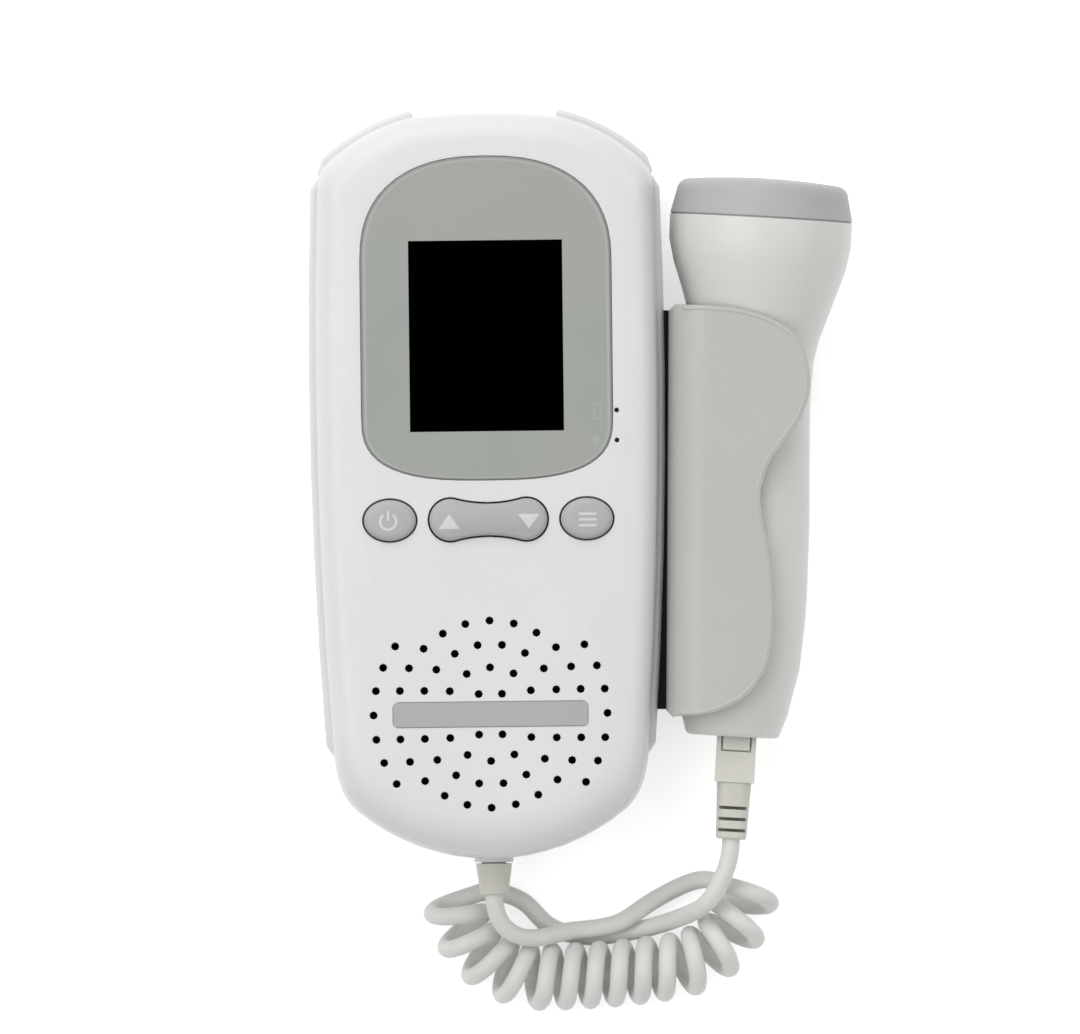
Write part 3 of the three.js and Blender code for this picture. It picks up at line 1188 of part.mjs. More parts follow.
function holderBody() {
  const high = CHANNEL_HALF + HOLDER_WALL;
  const sides = 16;
  // The outer U lies in x and z and runs along y
  const section = new THREE.Shape();
  section.moveTo(2 * HOLDER_REACH, high);
  section.lineTo(HOLDER_CORNER, high);
  section.absarc(HOLDER_CORNER, high - HOLDER_CORNER, HOLDER_CORNER, QUARTER, 2 * QUARTER);
  section.absarc(HOLDER_CORNER, -high + HOLDER_CORNER, HOLDER_CORNER, 2 * QUARTER, 3 * QUARTER);
  section.lineTo(2 * HOLDER_REACH, -high);
  const settings = { depth: HOLDER_LENGTH, bevelEnabled: false, curveSegments: 8 };
  const bar = new THREE.ExtrudeGeometry(section, settings);
  bar.rotateX(QUARTER);
  bar.translate(0, HOLDER_LENGTH / 2, 0);
  const lip = new THREE.SplineCurve(lipShares.map(([x, y]) => (
    new THREE.Vector2(x * HOLDER_REACH, y * HOLDER_LENGTH)
  ))).getPoints(3 * lipShares.length);
  const half = HOLDER_LENGTH / 2;
  const ends = [
    new THREE.Vector2(HOLDER_END_ROUND, -half), new THREE.Vector2(0, -half + HOLDER_END_ROUND),
    new THREE.Vector2(0, half - HOLDER_END_ROUND), new THREE.Vector2(HOLDER_END_ROUND, half),
  ];
  const plate = prism([...lip, ...ends].reverse(), -high - OVERRUN, high + OVERRUN);
  const rings = [];
  const steps = 12;
  for (let i = 0; i <= steps; i += 1) {
    const span = HOLDER_LENGTH + 2 * OVERRUN;
    rings.push(channelRing(HOLDER_Y + span / 2 - span * i / steps, sides));
  }
  const flat = rings[0].map((point) => new THREE.Vector2(point.x, point.z));
  const channel = solid(skin(rings, flat));
  const screwPlaces = [HOLDER_SCREW_HIGH_Y, HOLDER_SCREW_LOW_Y].map(holderScrewPlace);
  const holes = screwPlaces.flatMap(({ y, seatX }) => [
    rodAlongX(y, 0, SCREW_RADIUS + FIT, -OVERRUN, HOLDER_REACH, 12),
    rodAlongX(y, 0, SCREW_HEAD_RADIUS + FIT, seatX - FIT, HOLDER_REACH, 14),
  ]);
  return cut(solid(bar).intersect(plate), channel, ...holes);
}

// Where a holder screw's head sits, in the holder's frame: sunk below the bed of the channel
function holderScrewPlace(unitY) {
  const down = probeDownAt(unitY);
  const { half, shift } = probeStation(down);
  const axisX = PROBE_X - (PROBE_Y - unitY) * Math.tan(PROBE_TURN);
  const bed = new THREE.Vector3(axisX + shift - half - CHANNEL_FIT, unitY, PROBE_Z);
  bed.applyMatrix4(holderInverse);
  return { y: bed.y, seatX: bed.x - SCREW_HEAD_THICK - FIT };
}

function holderScrew(unitY) {
  const { y, seatX } = holderScrewPlace(unitY);
  const head = rodAlongX(y, 0, SCREW_HEAD_RADIUS, seatX, seatX + SCREW_HEAD_THICK, 14);
  const shank = rodAlongX(y, 0, SCREW_RADIUS, seatX - HOLDER_SCREW_LENGTH, seatX + SCREW_HEAD_THICK / 2, 10);
  return join(head, shank);
}

// Cord relief at the bottom end: a tapering sleeve, a neck through the case and a flange inside it
function cordRelief() {
  const out = -BOTTOM_Y + COLLAR_LENGTH + FIT;
  const wallIn = -BOTTOM_Y - SIDE_WALL - RUNNING_FIT;
  const geometry = turned([
    [0, out + RELIEF_LENGTH], [RELIEF_END_RADIUS, out + RELIEF_LENGTH], [RELIEF_RADIUS, out],
    [RELIEF_NECK_RADIUS, out], [RELIEF_NECK_RADIUS, wallIn - FIT], [RELIEF_FLANGE_RADIUS, wallIn - FIT],
    [RELIEF_FLANGE_RADIUS, wallIn - FIT - RELIEF_FLANGE_THICK], [0, wallIn - FIT - RELIEF_FLANGE_THICK],
  ].reverse(), 20);
  geometry.rotateX(QUARTER);
  geometry.translate(RELIEF_X, 0, RELIEF_Z);
  return geometry;
}

// Curly cord. The coil's axis lies flat: two bends and a long shallow one between them.
const COIL_Z = COIL_RADIUS + CORD_DIAMETER / 2 + COIL_LIFT;
const coilBends = [
  { radius: COIL_LEFT_RADIUS, turn: COIL_LEFT_TURN * DEGREE, curls: COIL_LEFT_CURLS },
  { radius: COIL_MIDDLE_RADIUS, turn: COIL_MIDDLE_TURN * DEGREE, curls: COIL_MIDDLE_CURLS },
  { radius: COIL_RIGHT_RADIUS, turn: COIL_RIGHT_TURN * DEGREE, curls: COIL_RIGHT_CURLS },
];

// Axis point and heading after a number of curls
function coilAxis(curls) {
  let x = COIL_START_X;
  let y = COIL_START_Y;
  let heading = COIL_START_HEADING * DEGREE;
  let left = curls;
  for (const bend of coilBends) {
    const turn = bend.turn * Math.min(left, bend.curls) / bend.curls;
    x += bend.radius * (Math.sin(heading + turn) - Math.sin(heading));
    y += bend.radius * (Math.cos(heading) - Math.cos(heading + turn));
    heading += turn;
    left -= bend.curls;
    if (left <= 0) {
      break;
    }
  }
  return { x, y, heading };
}

// Wire centre after a number of curls; it starts at the coil's underside and winds left-handed
function coilPoint(curls) {
  const { x, y, heading } = coilAxis(curls);
  const angle = 2 * QUARTER + curls * 4 * QUARTER;
  const aside = -COIL_RADIUS * Math.sin(angle);
  return new THREE.Vector3(
    x + aside * Math.sin(heading),
    y - aside * Math.cos(heading),
    COIL_Z + COIL_RADIUS * Math.cos(angle),
  );
}

const allCurls = coilBends.reduce((sum, bend) => sum + bend.curls, 0);

// The wire's centre line with a straight lead of one diameter at each end
function coilCentreLine(stepsPerCurl) {
  const count = Math.round(allCurls * stepsPerCurl);
  const points = Array.from({ length: count + 1 }, (_, i) => coilPoint(allCurls * i / count));
  const tiny = 1e-3;
  const startHeading = coilPoint(0).sub(coilPoint(tiny)).normalize();
  const endHeading = coilPoint(allCurls).sub(coilPoint(allCurls - tiny)).normalize();
  const start = points[0].clone().addScaledVector(startHeading, CORD_DIAMETER);
  const end = points.at(-1).clone().addScaledVector(endHeading, CORD_DIAMETER);
  return { points: [start, ...points, end], startHeading, endHeading };
}

// Least gap between the wire's surfaces, over points more than half a curl apart
function leastGap(points, stepsPerCurl) {
  let least = Infinity;
  const skip = Math.round(stepsPerCurl / 2);
  for (let i = 0; i < points.length; i += 1) {
    for (let j = i + skip; j < points.length; j += 1) {
      least = Math.min(least, points[i].distanceTo(points[j]));
    }
  }
  return least - CORD_DIAMETER;
}

// A tube of few sides along a row of points, its frame carried along without twist
function tube(points, radius, sides) {
  let normal = new THREE.Vector3(0, 0, 1);
  const rings = points.map((point, i) => {
    const before = points[Math.max(i - 1, 0)];
    const after = points[Math.min(i + 1, points.length - 1)];
    const heading = after.clone().sub(before).normalize();
    if (i === 0 && Math.abs(heading.z) > Math.SQRT1_2) {
      normal = new THREE.Vector3(1, 0, 0);
    }
    normal = normal.addScaledVector(heading, -normal.dot(heading)).normalize();
    const aside = heading.clone().cross(normal);
    return Array.from({ length: sides }, (_, k) => {
      const angle = k / sides * 4 * QUARTER;
      return point.clone()
        .addScaledVector(normal, radius * Math.cos(angle))
        .addScaledVector(aside, radius * Math.sin(angle));
    });
  });
  return skin(rings, ellipse(0, 0, 1, 1, sides));
}

const coilLine = coilCentreLine(CURL_STEPS);
const fineSteps = 3 * CURL_STEPS;
const coilGap = leastGap(coilCentreLine(fineSteps).points, fineSteps);
console.log(`least gap in the coil ${coilGap.toFixed(2)} mm`);

// The tails. Their middle points are chosen by hand; their ends follow the pieces they meet.
function tail(points, steps) {
  const section = new THREE.Shape(ellipse(0, 0, CORD_DIAMETER / 2, CORD_DIAMETER / 2, TAIL_SIDES));
  const path = new THREE.CatmullRomCurve3(points, false, 'centripetal');
  return new THREE.ExtrudeGeometry(section, { steps, extrudePath: path, bevelEnabled: false });
}

const reliefEnd = new THREE.Vector3(
  RELIEF_X, BOTTOM_Y - COLLAR_LENGTH - FIT - RELIEF_LENGTH - CORD_FACE_GAP, RELIEF_Z,
);
const coilFirst = coilLine.points[0].clone().addScaledVector(coilLine.startHeading, CORD_FACE_GAP);
const coilLast = coilLine.points.at(-1).clone().addScaledVector(coilLine.endHeading, CORD_FACE_GAP);

const probePlace = new THREE.Matrix4().makeRotationZ(-PROBE_TURN)
  .multiply(new THREE.Matrix4().makeRotationX(-QUARTER))
  .setPosition(PROBE_X, PROBE_Y, PROBE_Z);
const bootEnd = new THREE.Vector3(
  SOCKET_SHIFT, 0, -PROBE_LENGTH - PLUG_OUTSIDE - FIT - BOOT_LENGTH - CORD_FACE_GAP,
).applyMatrix4(probePlace);
const bootHeading = new THREE.Vector3(0, 0, -1).transformDirection(probePlace);

const unitTailPoints = [
  reliefEnd,
  reliefEnd.clone().add(new THREE.Vector3(0, -CORD_DIAMETER / 2, 0)),
  new THREE.Vector3(1.1, -87.4, 14.6),
  new THREE.Vector3(3.3, -90, 13.8),
  new THREE.Vector3(7.3, -91.3, 12.4),
  new THREE.Vector3(11.1, -90.7, 10.9),
  new THREE.Vector3(14.9, -89.8, 8),
  new THREE.Vector3(16.8, -89.6, 7),
  new THREE.Vector3(20.2, -89.4, 6.1),
  new THREE.Vector3(24.3, -88.7, 6.1),
  new THREE.Vector3(26.9, -87.6, 5.6),
  new THREE.Vector3(30.5, -84.9, 3.8),
  new THREE.Vector3(34.8, -82.5, 2.5),
  new THREE.Vector3(38.7, -80.6, 3),
  new THREE.Vector3(41.8, -79.7, 5),
  coilLast.clone().addScaledVector(coilLine.endHeading, CORD_DIAMETER / 2),
  coilLast,
];
const probeTailPoints = [
  bootEnd,
  bootEnd.clone().addScaledVector(bootHeading, CORD_DIAMETER / 2),
  new THREE.Vector3(47.4, -76.5, 18.8),
  new THREE.Vector3(44.6, -82.7, 17.4),
  new THREE.Vector3(41.6, -85.7, 14.4),
  new THREE.Vector3(37.8, -87.2, 8.5),
  new THREE.Vector3(33.4, -88.9, 3.9),
  new THREE.Vector3(26.6, -90.4, 2.1),
  new THREE.Vector3(21.2, -91, 2),
  new THREE.Vector3(19.4, -91.1, 2),
  new THREE.Vector3(13.5, -90.2, 1.9),
  new THREE.Vector3(10.2, -88.2, 2),
  new THREE.Vector3(8.1, -85.6, 1.9),
  new THREE.Vector3(5.9, -83.5, 1.9),
  new THREE.Vector3(1.7, -81.9, 1.9),
  coilFirst.clone().addScaledVector(coilLine.startHeading, CORD_DIAMETER / 2),
  coilFirst,
];

// Materials, from the photographed colours
function finish(color, roughness, metalness = 0) {
  return new THREE.MeshStandardMaterial({ color, roughness, metalness });
}

const whiteShell = finish(0xe6e6e4, 0.45);
const lens = finish(0x9fa69f, 0.2);
const greyKey = finish(0xbababa, 0.5);
const holderGrey = finish(0xbcbdb8, 0.5);
const probeWhite = finish(0xdedad8, 0.45);
const capGrey = finish(0xb4b4b4, 0.55);
const cream = finish(0xc8c8be, 0.5);
const cordGrey = finish(0xdcdcd8, 0.55);
const boardGreen = finish(0x2f6b45, 0.6);
const blackPlastic = finish(0x1c1d1f, 0.4);
const steel = finish(0xb9bcc0, 0.35, 1);
const paper = finish(0x3a3b3d, 0.8);
const ceramic = finish(0xd8cfb4, 0.6);
const foam = finish(0x565a5e, 0.9);
const clear = finish(0xe8efe8, 0.15);
const cellSleeve = finish(0x2c3f70, 0.4);

const fetalDoppler = new THREE.Group();
const unit = new THREE.Group();
const probe = new THREE.Group();
const holderGroup = new THREE.Group();
probe.applyMatrix4(probePlace);
holderGroup.applyMatrix4(holderMatrix);
fetalDoppler.add(unit, probe, holderGroup);

function add(group, name, shape, material) {
  const mesh = new THREE.Mesh(shape.isBufferGeometry ? shape : geometryOf(shape), material);
  mesh.name = name;
  group.add(mesh);
}

add(unit, 'front_case', frontCase(), whiteShell);
add(unit, 'back_case', rearCase(), whiteShell);
add(unit, 'battery_door', batteryDoor(), whiteShell);
add(unit, 'window', windowLens(), lens);
add(unit, 'power_key', singleKey(-KEY_X), greyKey);
add(unit, 'mode_key', singleKey(KEY_X), greyKey);
add(unit, 'rocker_key', rockerKey(), greyKey);
add(unit, 'label_strip', labelStrip(), greyKey);
add(unit, 'lcd_bezel', lcdBezel(), steel);
add(unit, 'lcd_backlight', lcdLayer(LCD_LOW_Z + FIT, LCD_LOW_Z + FIT + BACKLIGHT_THICK), clear);
add(unit, 'lcd_panel', lcdLayer(LCD_TOP_Z - FIT - LCD_PANEL_THICK, LCD_TOP_Z - FIT), blackPlastic);
add(unit, 'main_board', mainBoard(), boardGreen);
add(unit, 'processor_chip', chip(PROCESSOR_Y, CHIP_SIZE), blackPlastic);
add(unit, 'amplifier_chip', chip(AMPLIFIER_Y, SMALL_CHIP_SIZE), blackPlastic);
add(unit, 'light_pipe', lightPipe(), clear);
add(unit, 'power_switch', tactSwitch(-KEY_X), blackPlastic);
add(unit, 'up_switch', tactSwitch(-ROCKER_LENGTH / 2 + ROCKER_LOBE_RADIUS), blackPlastic);
add(unit, 'down_switch', tactSwitch(ROCKER_LENGTH / 2 - ROCKER_LOBE_RADIUS), blackPlastic);
add(unit, 'mode_switch', tactSwitch(KEY_X), blackPlastic);
add(unit, 'speaker_basket', speakerBasket(), steel);
add(unit, 'speaker_cone', speakerCone(), paper);
add(unit, 'speaker_magnet', speakerMagnet(), steel);
add(unit, 'battery_left', cell(-1), cellSleeve);
add(unit, 'battery_right', cell(1), cellSleeve);
const cellX = CELL_RADIUS + FIT / 2;
add(unit, 'battery_bridge', contactPlate(-BAY_HALF + FIT, BAY_HALF - FIT, true, cellX), steel);
add(unit, 'spring_contact', contactPlate(-BAY_HALF + FIT, -2 * FIT, false, -cellX), steel);
add(unit, 'flat_contact', contactPlate(2 * FIT, BAY_HALF - FIT, false), steel);
screws.forEach((place, i) => add(unit, `case_screw_${i + 1}`, caseScrew(place), steel));
add(unit, 'socket_board', socketBoard(), boardGreen);
add(unit, 'earphone_jack', earphoneJack(), blackPlastic);
add(unit, 'charge_port', chargePort(), steel);
add(unit, 'cord_relief', cordRelief(), cream);

add(holderGroup, 'holder', holderBody(), holderGrey);
add(holderGroup, 'holder_screw_1', holderScrew(HOLDER_SCREW_HIGH_Y), steel);
add(holderGroup, 'holder_screw_2', holderScrew(HOLDER_SCREW_LOW_Y), steel);

add(probe, 'probe_housing', probeHousing(), probeWhite);
add(probe, 'probe_cap', probeCap(), capGrey);
add(probe, 'transmit_crystal', crystal(-1), ceramic);
add(probe, 'receive_crystal', crystal(1), ceramic);
add(probe, 'backing_foam', backingFoam(), foam);
add(probe, 'probe_board', probeBoard(), boardGreen);
add(probe, 'probe_socket', probeSocket(), blackPlastic);
add(probe, 'plug_body', plugBody(), cream);
add(probe, 'plug_latch', plugLatch(), cream);
add(probe, 'plug_boot', plugBoot(), cream);

add(fetalDoppler, 'coil', tube(coilLine.points, CORD_DIAMETER / 2, CURL_SIDES), cordGrey);
add(fetalDoppler, 'unit_tail', tail(unitTailPoints, UNIT_TAIL_STEPS), cordGrey);
add(fetalDoppler, 'probe_tail', tail(probeTailPoints, PROBE_TAIL_STEPS), cordGrey);

export default fetalDoppler;
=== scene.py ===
import json
import math

import bpy
from mathutils import Matrix, Vector

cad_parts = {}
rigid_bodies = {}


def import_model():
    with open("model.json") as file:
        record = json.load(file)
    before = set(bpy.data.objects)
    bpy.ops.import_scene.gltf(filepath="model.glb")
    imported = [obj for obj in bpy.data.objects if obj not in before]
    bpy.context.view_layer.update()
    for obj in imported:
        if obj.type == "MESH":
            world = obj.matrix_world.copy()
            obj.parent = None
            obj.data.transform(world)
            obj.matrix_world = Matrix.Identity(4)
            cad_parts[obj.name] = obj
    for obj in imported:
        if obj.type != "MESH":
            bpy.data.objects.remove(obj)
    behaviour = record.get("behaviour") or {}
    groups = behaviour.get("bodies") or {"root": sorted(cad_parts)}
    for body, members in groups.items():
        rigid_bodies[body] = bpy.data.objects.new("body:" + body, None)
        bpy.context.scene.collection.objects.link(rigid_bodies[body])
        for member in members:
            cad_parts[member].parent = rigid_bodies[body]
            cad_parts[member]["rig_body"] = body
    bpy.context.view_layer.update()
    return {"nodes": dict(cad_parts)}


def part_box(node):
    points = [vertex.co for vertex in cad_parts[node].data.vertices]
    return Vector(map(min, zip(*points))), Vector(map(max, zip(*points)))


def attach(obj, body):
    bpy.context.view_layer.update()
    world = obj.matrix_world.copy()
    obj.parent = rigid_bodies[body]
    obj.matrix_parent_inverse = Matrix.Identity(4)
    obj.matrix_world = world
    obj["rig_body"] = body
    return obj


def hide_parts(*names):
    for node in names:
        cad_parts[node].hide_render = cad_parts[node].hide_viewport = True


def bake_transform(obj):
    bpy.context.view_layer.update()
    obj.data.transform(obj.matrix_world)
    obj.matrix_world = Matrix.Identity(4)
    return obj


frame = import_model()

MM = 0.001

# Camera. It looks straight down on the set, which lies on its back, through a long lens from far off,
# so that near and far pieces keep one scale. The picture's up is the monitor's length, turned by a hair.
VIEW_WIDTH = 216 * MM
VIEW_DISTANCE = 5
FACE_HEIGHT = 38 * MM
VIEW_MIDDLE = (10.33 * MM, -6.42 * MM)
VIEW_TURN = math.radians(-0.65)
SENSOR_WIDTH = 36
bpy.ops.object.camera_add(
    location=(*VIEW_MIDDLE, FACE_HEIGHT + VIEW_DISTANCE), rotation=(0, 0, VIEW_TURN)
)
camera = bpy.context.object
camera.data.sensor_width = SENSOR_WIDTH
camera.data.lens = SENSOR_WIDTH * VIEW_DISTANCE / VIEW_WIDTH
bpy.context.scene.camera = camera
bpy.context.scene.view_settings.view_transform = "Standard"

# Studio. A white room lights everything softly from all round. A large lamp above the top of the picture
# and a weaker one to its left give the faces their slope, and a small one fills in from the right.
ROOM_LEVEL = 0.47
world = bpy.data.worlds.new("room")
world.use_nodes = True
world.node_tree.nodes["Background"].inputs["Color"].default_value = (1, 1, 1, 1)
world.node_tree.nodes["Background"].inputs["Strength"].default_value = ROOM_LEVEL
bpy.context.scene.world = world
LAMP_TARGET = Vector((0.01, 0, 0.02))
# Each lamp's name, place, width and power
LAMPS = [
    ("top_lamp", (-0.4, 1.7, 1.3), 1.5, 15.5),
    ("left_lamp", (-0.8, 0.2, 1.5), 1.2, 8),
    ("right_lamp", (0.9, 0.3, 1), 0.8, 1.6),
]
for lamp_name, lamp_place, lamp_size, lamp_power in LAMPS:
    aim = (LAMP_TARGET - Vector(lamp_place)).to_track_quat("-Z", "Y")
    bpy.ops.object.light_add(type="AREA", location=lamp_place, rotation=aim.to_euler())
    lamp = bpy.context.object
    lamp.name = lamp_name
    lamp.data.size = lamp_size
    lamp.data.energy = lamp_power


# Floor. A plain white board under the set. The camera sees it a little brighter than it is, so that it
# runs out to white, and it keeps the soft shadows.
class Value:
    """One output of a material's node. Arithmetic on it adds Math nodes."""

    def __init__(self, finish, socket):
        self.finish = finish
        self.socket = socket

    def _math(self, operation, *values):
        node = self.finish.tree.nodes.new("ShaderNodeMath")
        node.operation = operation
        for slot, value in zip(node.inputs, values):
            self.finish.put(slot, value)
        return Value(self.finish, node.outputs[0])

    def __add__(self, other):
        return self._math("ADD", self, other)

    def __sub__(self, other):
        return self._math("SUBTRACT", self, other)

    def __rsub__(self, other):
        return self._math("SUBTRACT", other, self)

    def __mul__(self, other):
        return self._math("MULTIPLY", self, other)

    def __abs__(self):
        return self._math("ABSOLUTE", self)

    def __pow__(self, power):
        return self._math("POWER", self, power)

    __radd__ = __add__
    __rmul__ = __mul__

    def least(self, other):
        return self._math("MINIMUM", self, other)

    def most(self, other):
        return self._math("MAXIMUM", self, other)

    def wave(self):
        return self._math("SINE", self)

    def step(self, edge, blur):
        """0 below edge and 1 above it, with a soft change blur wide."""
        return self.finish.node(
            "MapRange", {"interpolation_type": "SMOOTHSTEP"},
            {"Value": self, "From Min": edge - blur / 2, "From Max": edge + blur / 2},
        )


class Finish:
    """A material under work. Constants go straight on its principled shader's sockets."""

    def __init__(self, name, color, **constants):
        self.material = bpy.data.materials.new(name)
        self.material.use_nodes = True
        self.tree = self.material.node_tree
        self.shader = self.tree.nodes["Principled BSDF"]
        self.color = color
        self.set("Base Color", color)
        for socket, value in constants.items():
            self.set(socket.replace("_", " ").title().replace("Ior", "IOR"), value)

    def put(self, slot, value):
        if isinstance(value, Value):
            self.tree.links.new(value.socket, slot)
        elif isinstance(value, tuple) and len(value) < len(slot.default_value):
            slot.default_value = (*value, 1)
        else:
            slot.default_value = value

    def set(self, socket, value):
        self.put(self.shader.inputs[socket], value)

    def node(self, kind, settings=None, sockets=None, output=0):
        node = self.tree.nodes.new("ShaderNode" + kind)
        for key, value in (settings or {}).items():
            setattr(node, key, value)
        for key, value in (sockets or {}).items():
            self.put(node.inputs[key], value)
        return Value(self, node.outputs[output])

    def place(self):
        return self.node("TexCoord", output="Object")

    def axes(self):
        spot = self.node("SeparateXYZ", sockets={"Vector": self.place()})
        return [Value(self, socket) for socket in spot.socket.node.outputs]

    def noise(self, scale, detail=2.0, roughness=0.5, place=None):
        return self.node(
            "TexNoise", sockets={
                "Vector": place or self.place(), "Scale": scale, "Detail": detail,
                "Roughness": roughness,
            },
        )

    def mixed(self, mask, first, second):
        """One colour into another by a mask."""
        return self.node(
            "Mix", {"data_type": "RGBA"}, {"Factor": mask, 6: first, 7: second}, output=2
        )

    def bump(self, height, depth, edge=0):
        """Fine relief. With an edge, corners also catch the light as if they were rounded that much."""
        sockets = {"Height": height, "Distance": depth}
        if edge:
            sockets["Normal"] = self.node("Bevel", {"samples": 4}, {"Radius": edge})
        self.set("Normal", self.node("Bump", sockets=sockets))


def grey(level):
    """Linear share of a grey that shows as level out of 255, by the sRGB curve."""
    share = level / 255
    return share / 12.92 if share <= 0.04045 else ((share + 0.055) / 1.055) ** 2.4


def paint(red, green, blue):
    return (grey(red), grey(green), grey(blue))


FLOOR_SIZE = 6
FLOOR_WHITE = (0.88, 0.88, 0.88)
FLOOR_GLOW = 0.58
bpy.ops.mesh.primitive_plane_add(size=FLOOR_SIZE, location=(0, 0, 0))
floor = bpy.context.object
floor.name = "floor"
floor_white = Finish(
    "floor_white", FLOOR_WHITE, roughness=0.9, specular_ior_level=0.1, emission_strength=FLOOR_GLOW,
)
seen = floor_white.node("LightPath", output="Is Camera Ray")
mirrored = floor_white.node("LightPath", output="Is Glossy Ray")
through = floor_white.node("LightPath", output="Is Transmission Ray")
floor_white.set(
    "Emission Color", floor_white.mixed(seen.most(mirrored).most(through), (0, 0, 0), (1, 1, 1))
)
floor.data.materials.append(floor_white.material)

# Curly cord. One soft PVC cord with a smooth round skin: it is wound left-handed round a rod and heat
# set, so that it springs back into a row of curls. The row lies on the table in a long low bow.
CORD_RADIUS = 1.8 * MM
COIL_RADIUS = 5.1 * MM
COIL_HEIGHT = 7 * MM
COIL_START = (-7.5 * MM, -83.5 * MM)
COIL_START_HEADING = -83
# Radius of each bend, its turn in degrees, and its curls
COIL_BENDS = [(17.6 * MM, 83, 4.375), (188 * MM, 8, 5.375), (17.5 * MM, 77, 3.875)]
COIL_STEPS = 40
# A straight lead runs out of each end of the curls, and the cord's straight ends take over from it
LEAD = 3.6 * MM
FACE_GAP = 0.3 * MM


def coil_point(curls):
    """Cord centre after a number of curls, which start at the coil's underside."""
    (x, y), heading, left = COIL_START, math.radians(COIL_START_HEADING), curls
    for radius, turn, count in COIL_BENDS:
        angle = math.radians(turn) * min(left, count) / count
        x += radius * (math.sin(heading + angle) - math.sin(heading))
        y += radius * (math.cos(heading) - math.cos(heading + angle))
        heading += angle
        left -= count
        if left <= 0:
            break
    around = math.pi + math.tau * curls
    aside = -COIL_RADIUS * math.sin(around)
    return Vector((
        x + aside * math.sin(heading), y - aside * math.cos(heading),
        COIL_HEIGHT + COIL_RADIUS * math.cos(around),
    ))


def smooth_line(points, steps):
    """A smooth line through the points, with as many steps in each stretch: a centripetal spline."""
    ends = [2 * points[0] - points[1], *points, 2 * points[-1] - points[-2]]
    line = []
    for a, b, c, d in zip(ends, ends[1:], ends[2:], ends[3:]):
        ab, bc, cd = [(q - p).length ** 0.5 for p, q in ((a, b), (b, c), (c, d))]
        out = ((b - a) / ab - (c - a) / (ab + bc) + (c - b) / bc) * bc
        back = ((c - b) / bc - (d - b) / (bc + cd) + (d - c) / cd) * bc
        for i in range(steps):
            t = i / steps
            line.append(
                b * (2 * t ** 3 - 3 * t ** 2 + 1) + c * (3 * t ** 2 - 2 * t ** 3)
                + out * (t ** 3 - 2 * t ** 2 + t) + back * (t ** 3 - t ** 2)
            )
    return [*line, points[-1]]


def round_cord(name, points, finish, radius=CORD_RADIUS):
    """A round cord or bead along the points, as one closed mesh."""
    data = bpy.data.curves.new(name, "CURVE")
    data.dimensions = "3D"
    data.bevel_depth = radius
    data.bevel_resolution = 4
    data.use_fill_caps = True
    spline = data.splines.new("POLY")
    spline.points.add(len(points) - 1)
    for knot, point in zip(spline.points, points):
        knot.co = (*point, 1)
    line = bpy.data.objects.new(name, data)
    bpy.context.collection.objects.link(line)
    bpy.ops.object.select_all(action="DESELECT")
    bpy.context.view_layer.objects.active = line
    line.select_set(True)
    bpy.ops.object.convert(target="MESH")
    tube = bpy.context.object
    tube.data.materials.append(finish.material)
    bpy.ops.object.shade_smooth_by_angle(angle=math.radians(60))
    return tube


pvc = Finish(
    "cord_pvc", paint(236, 236, 233), roughness=0.42, subsurface_weight=0.15,
    subsurface_scale=0.002, coat_roughness=0.3,
)
cloud = pvc.noise(90, 3)
pvc.set("Base Color", pvc.mixed(cloud.step(0.5, 0.5), paint(232, 232, 229), paint(239, 239, 236)))
pvc.set("Roughness", 0.38 + cloud * 0.12)
pvc.bump(pvc.noise(700, 2), 0.00006)

all_curls = sum(count for _, _, count in COIL_BENDS)
knots = round(all_curls * COIL_STEPS)
coil_line = [coil_point(all_curls * i / knots) for i in range(knots + 1)]
NEARBY = 0.001
start_out = (coil_point(0) - coil_point(NEARBY)).normalized()
end_out = (coil_point(all_curls) - coil_point(all_curls - NEARBY)).normalized()
reach = LEAD + FACE_GAP
coil_line = [coil_line[0] + start_out * reach, *coil_line, coil_line[-1] + end_out * reach]
coil = round_cord("curly_cord", coil_line, pvc)
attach(coil, "unit")
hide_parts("coil")

# Straight ends of the cord. One comes out of the sleeve at the bottom of the monitor and goes to the far
# end of the curls, the other goes from the near end of the curls up into the plug's boot. They cross.
RELIEF_END = Vector((0.3, -82.4, 15)) * MM
RELIEF_OUT = Vector((0, -1, 0))
BOOT_END = Vector((47.932, -71.789, 19)) * MM
BOOT_OUT = Vector((-0.06714, -0.99774, 0))
coil_first = coil_line[0]
coil_last = coil_line[-1]
UNIT_TAIL = [
    (1.1, -87.4, 14.6), (3.3, -90, 13.8), (7.3, -91.3, 12.4), (11.1, -90.7, 10.9),
    (14.9, -89.8, 8), (16.8, -89.6, 7), (20.2, -89.4, 6.1), (24.3, -88.7, 6.1),
    (26.9, -87.6, 5.6), (30.5, -84.9, 3.8), (34.8, -82.5, 2.5), (38.7, -80.6, 3),
    (41.8, -79.7, 5),
]
PROBE_TAIL = [
    (47.4, -76.5, 18.8), (44.6, -82.7, 17.4), (41.6, -85.7, 14.4), (37.8, -87.2, 8.5),
    (33.4, -88.9, 3.9), (26.6, -90.4, 2.1), (21.2, -91, 2), (19.4, -91.1, 2),
    (13.5, -90.2, 1.9), (10.2, -88.2, 2), (8.1, -85.6, 1.9), (5.9, -83.5, 1.9),
    (1.7, -81.9, 1.9),
]
RUN_STEPS = 5
EASE_PASSES = 14


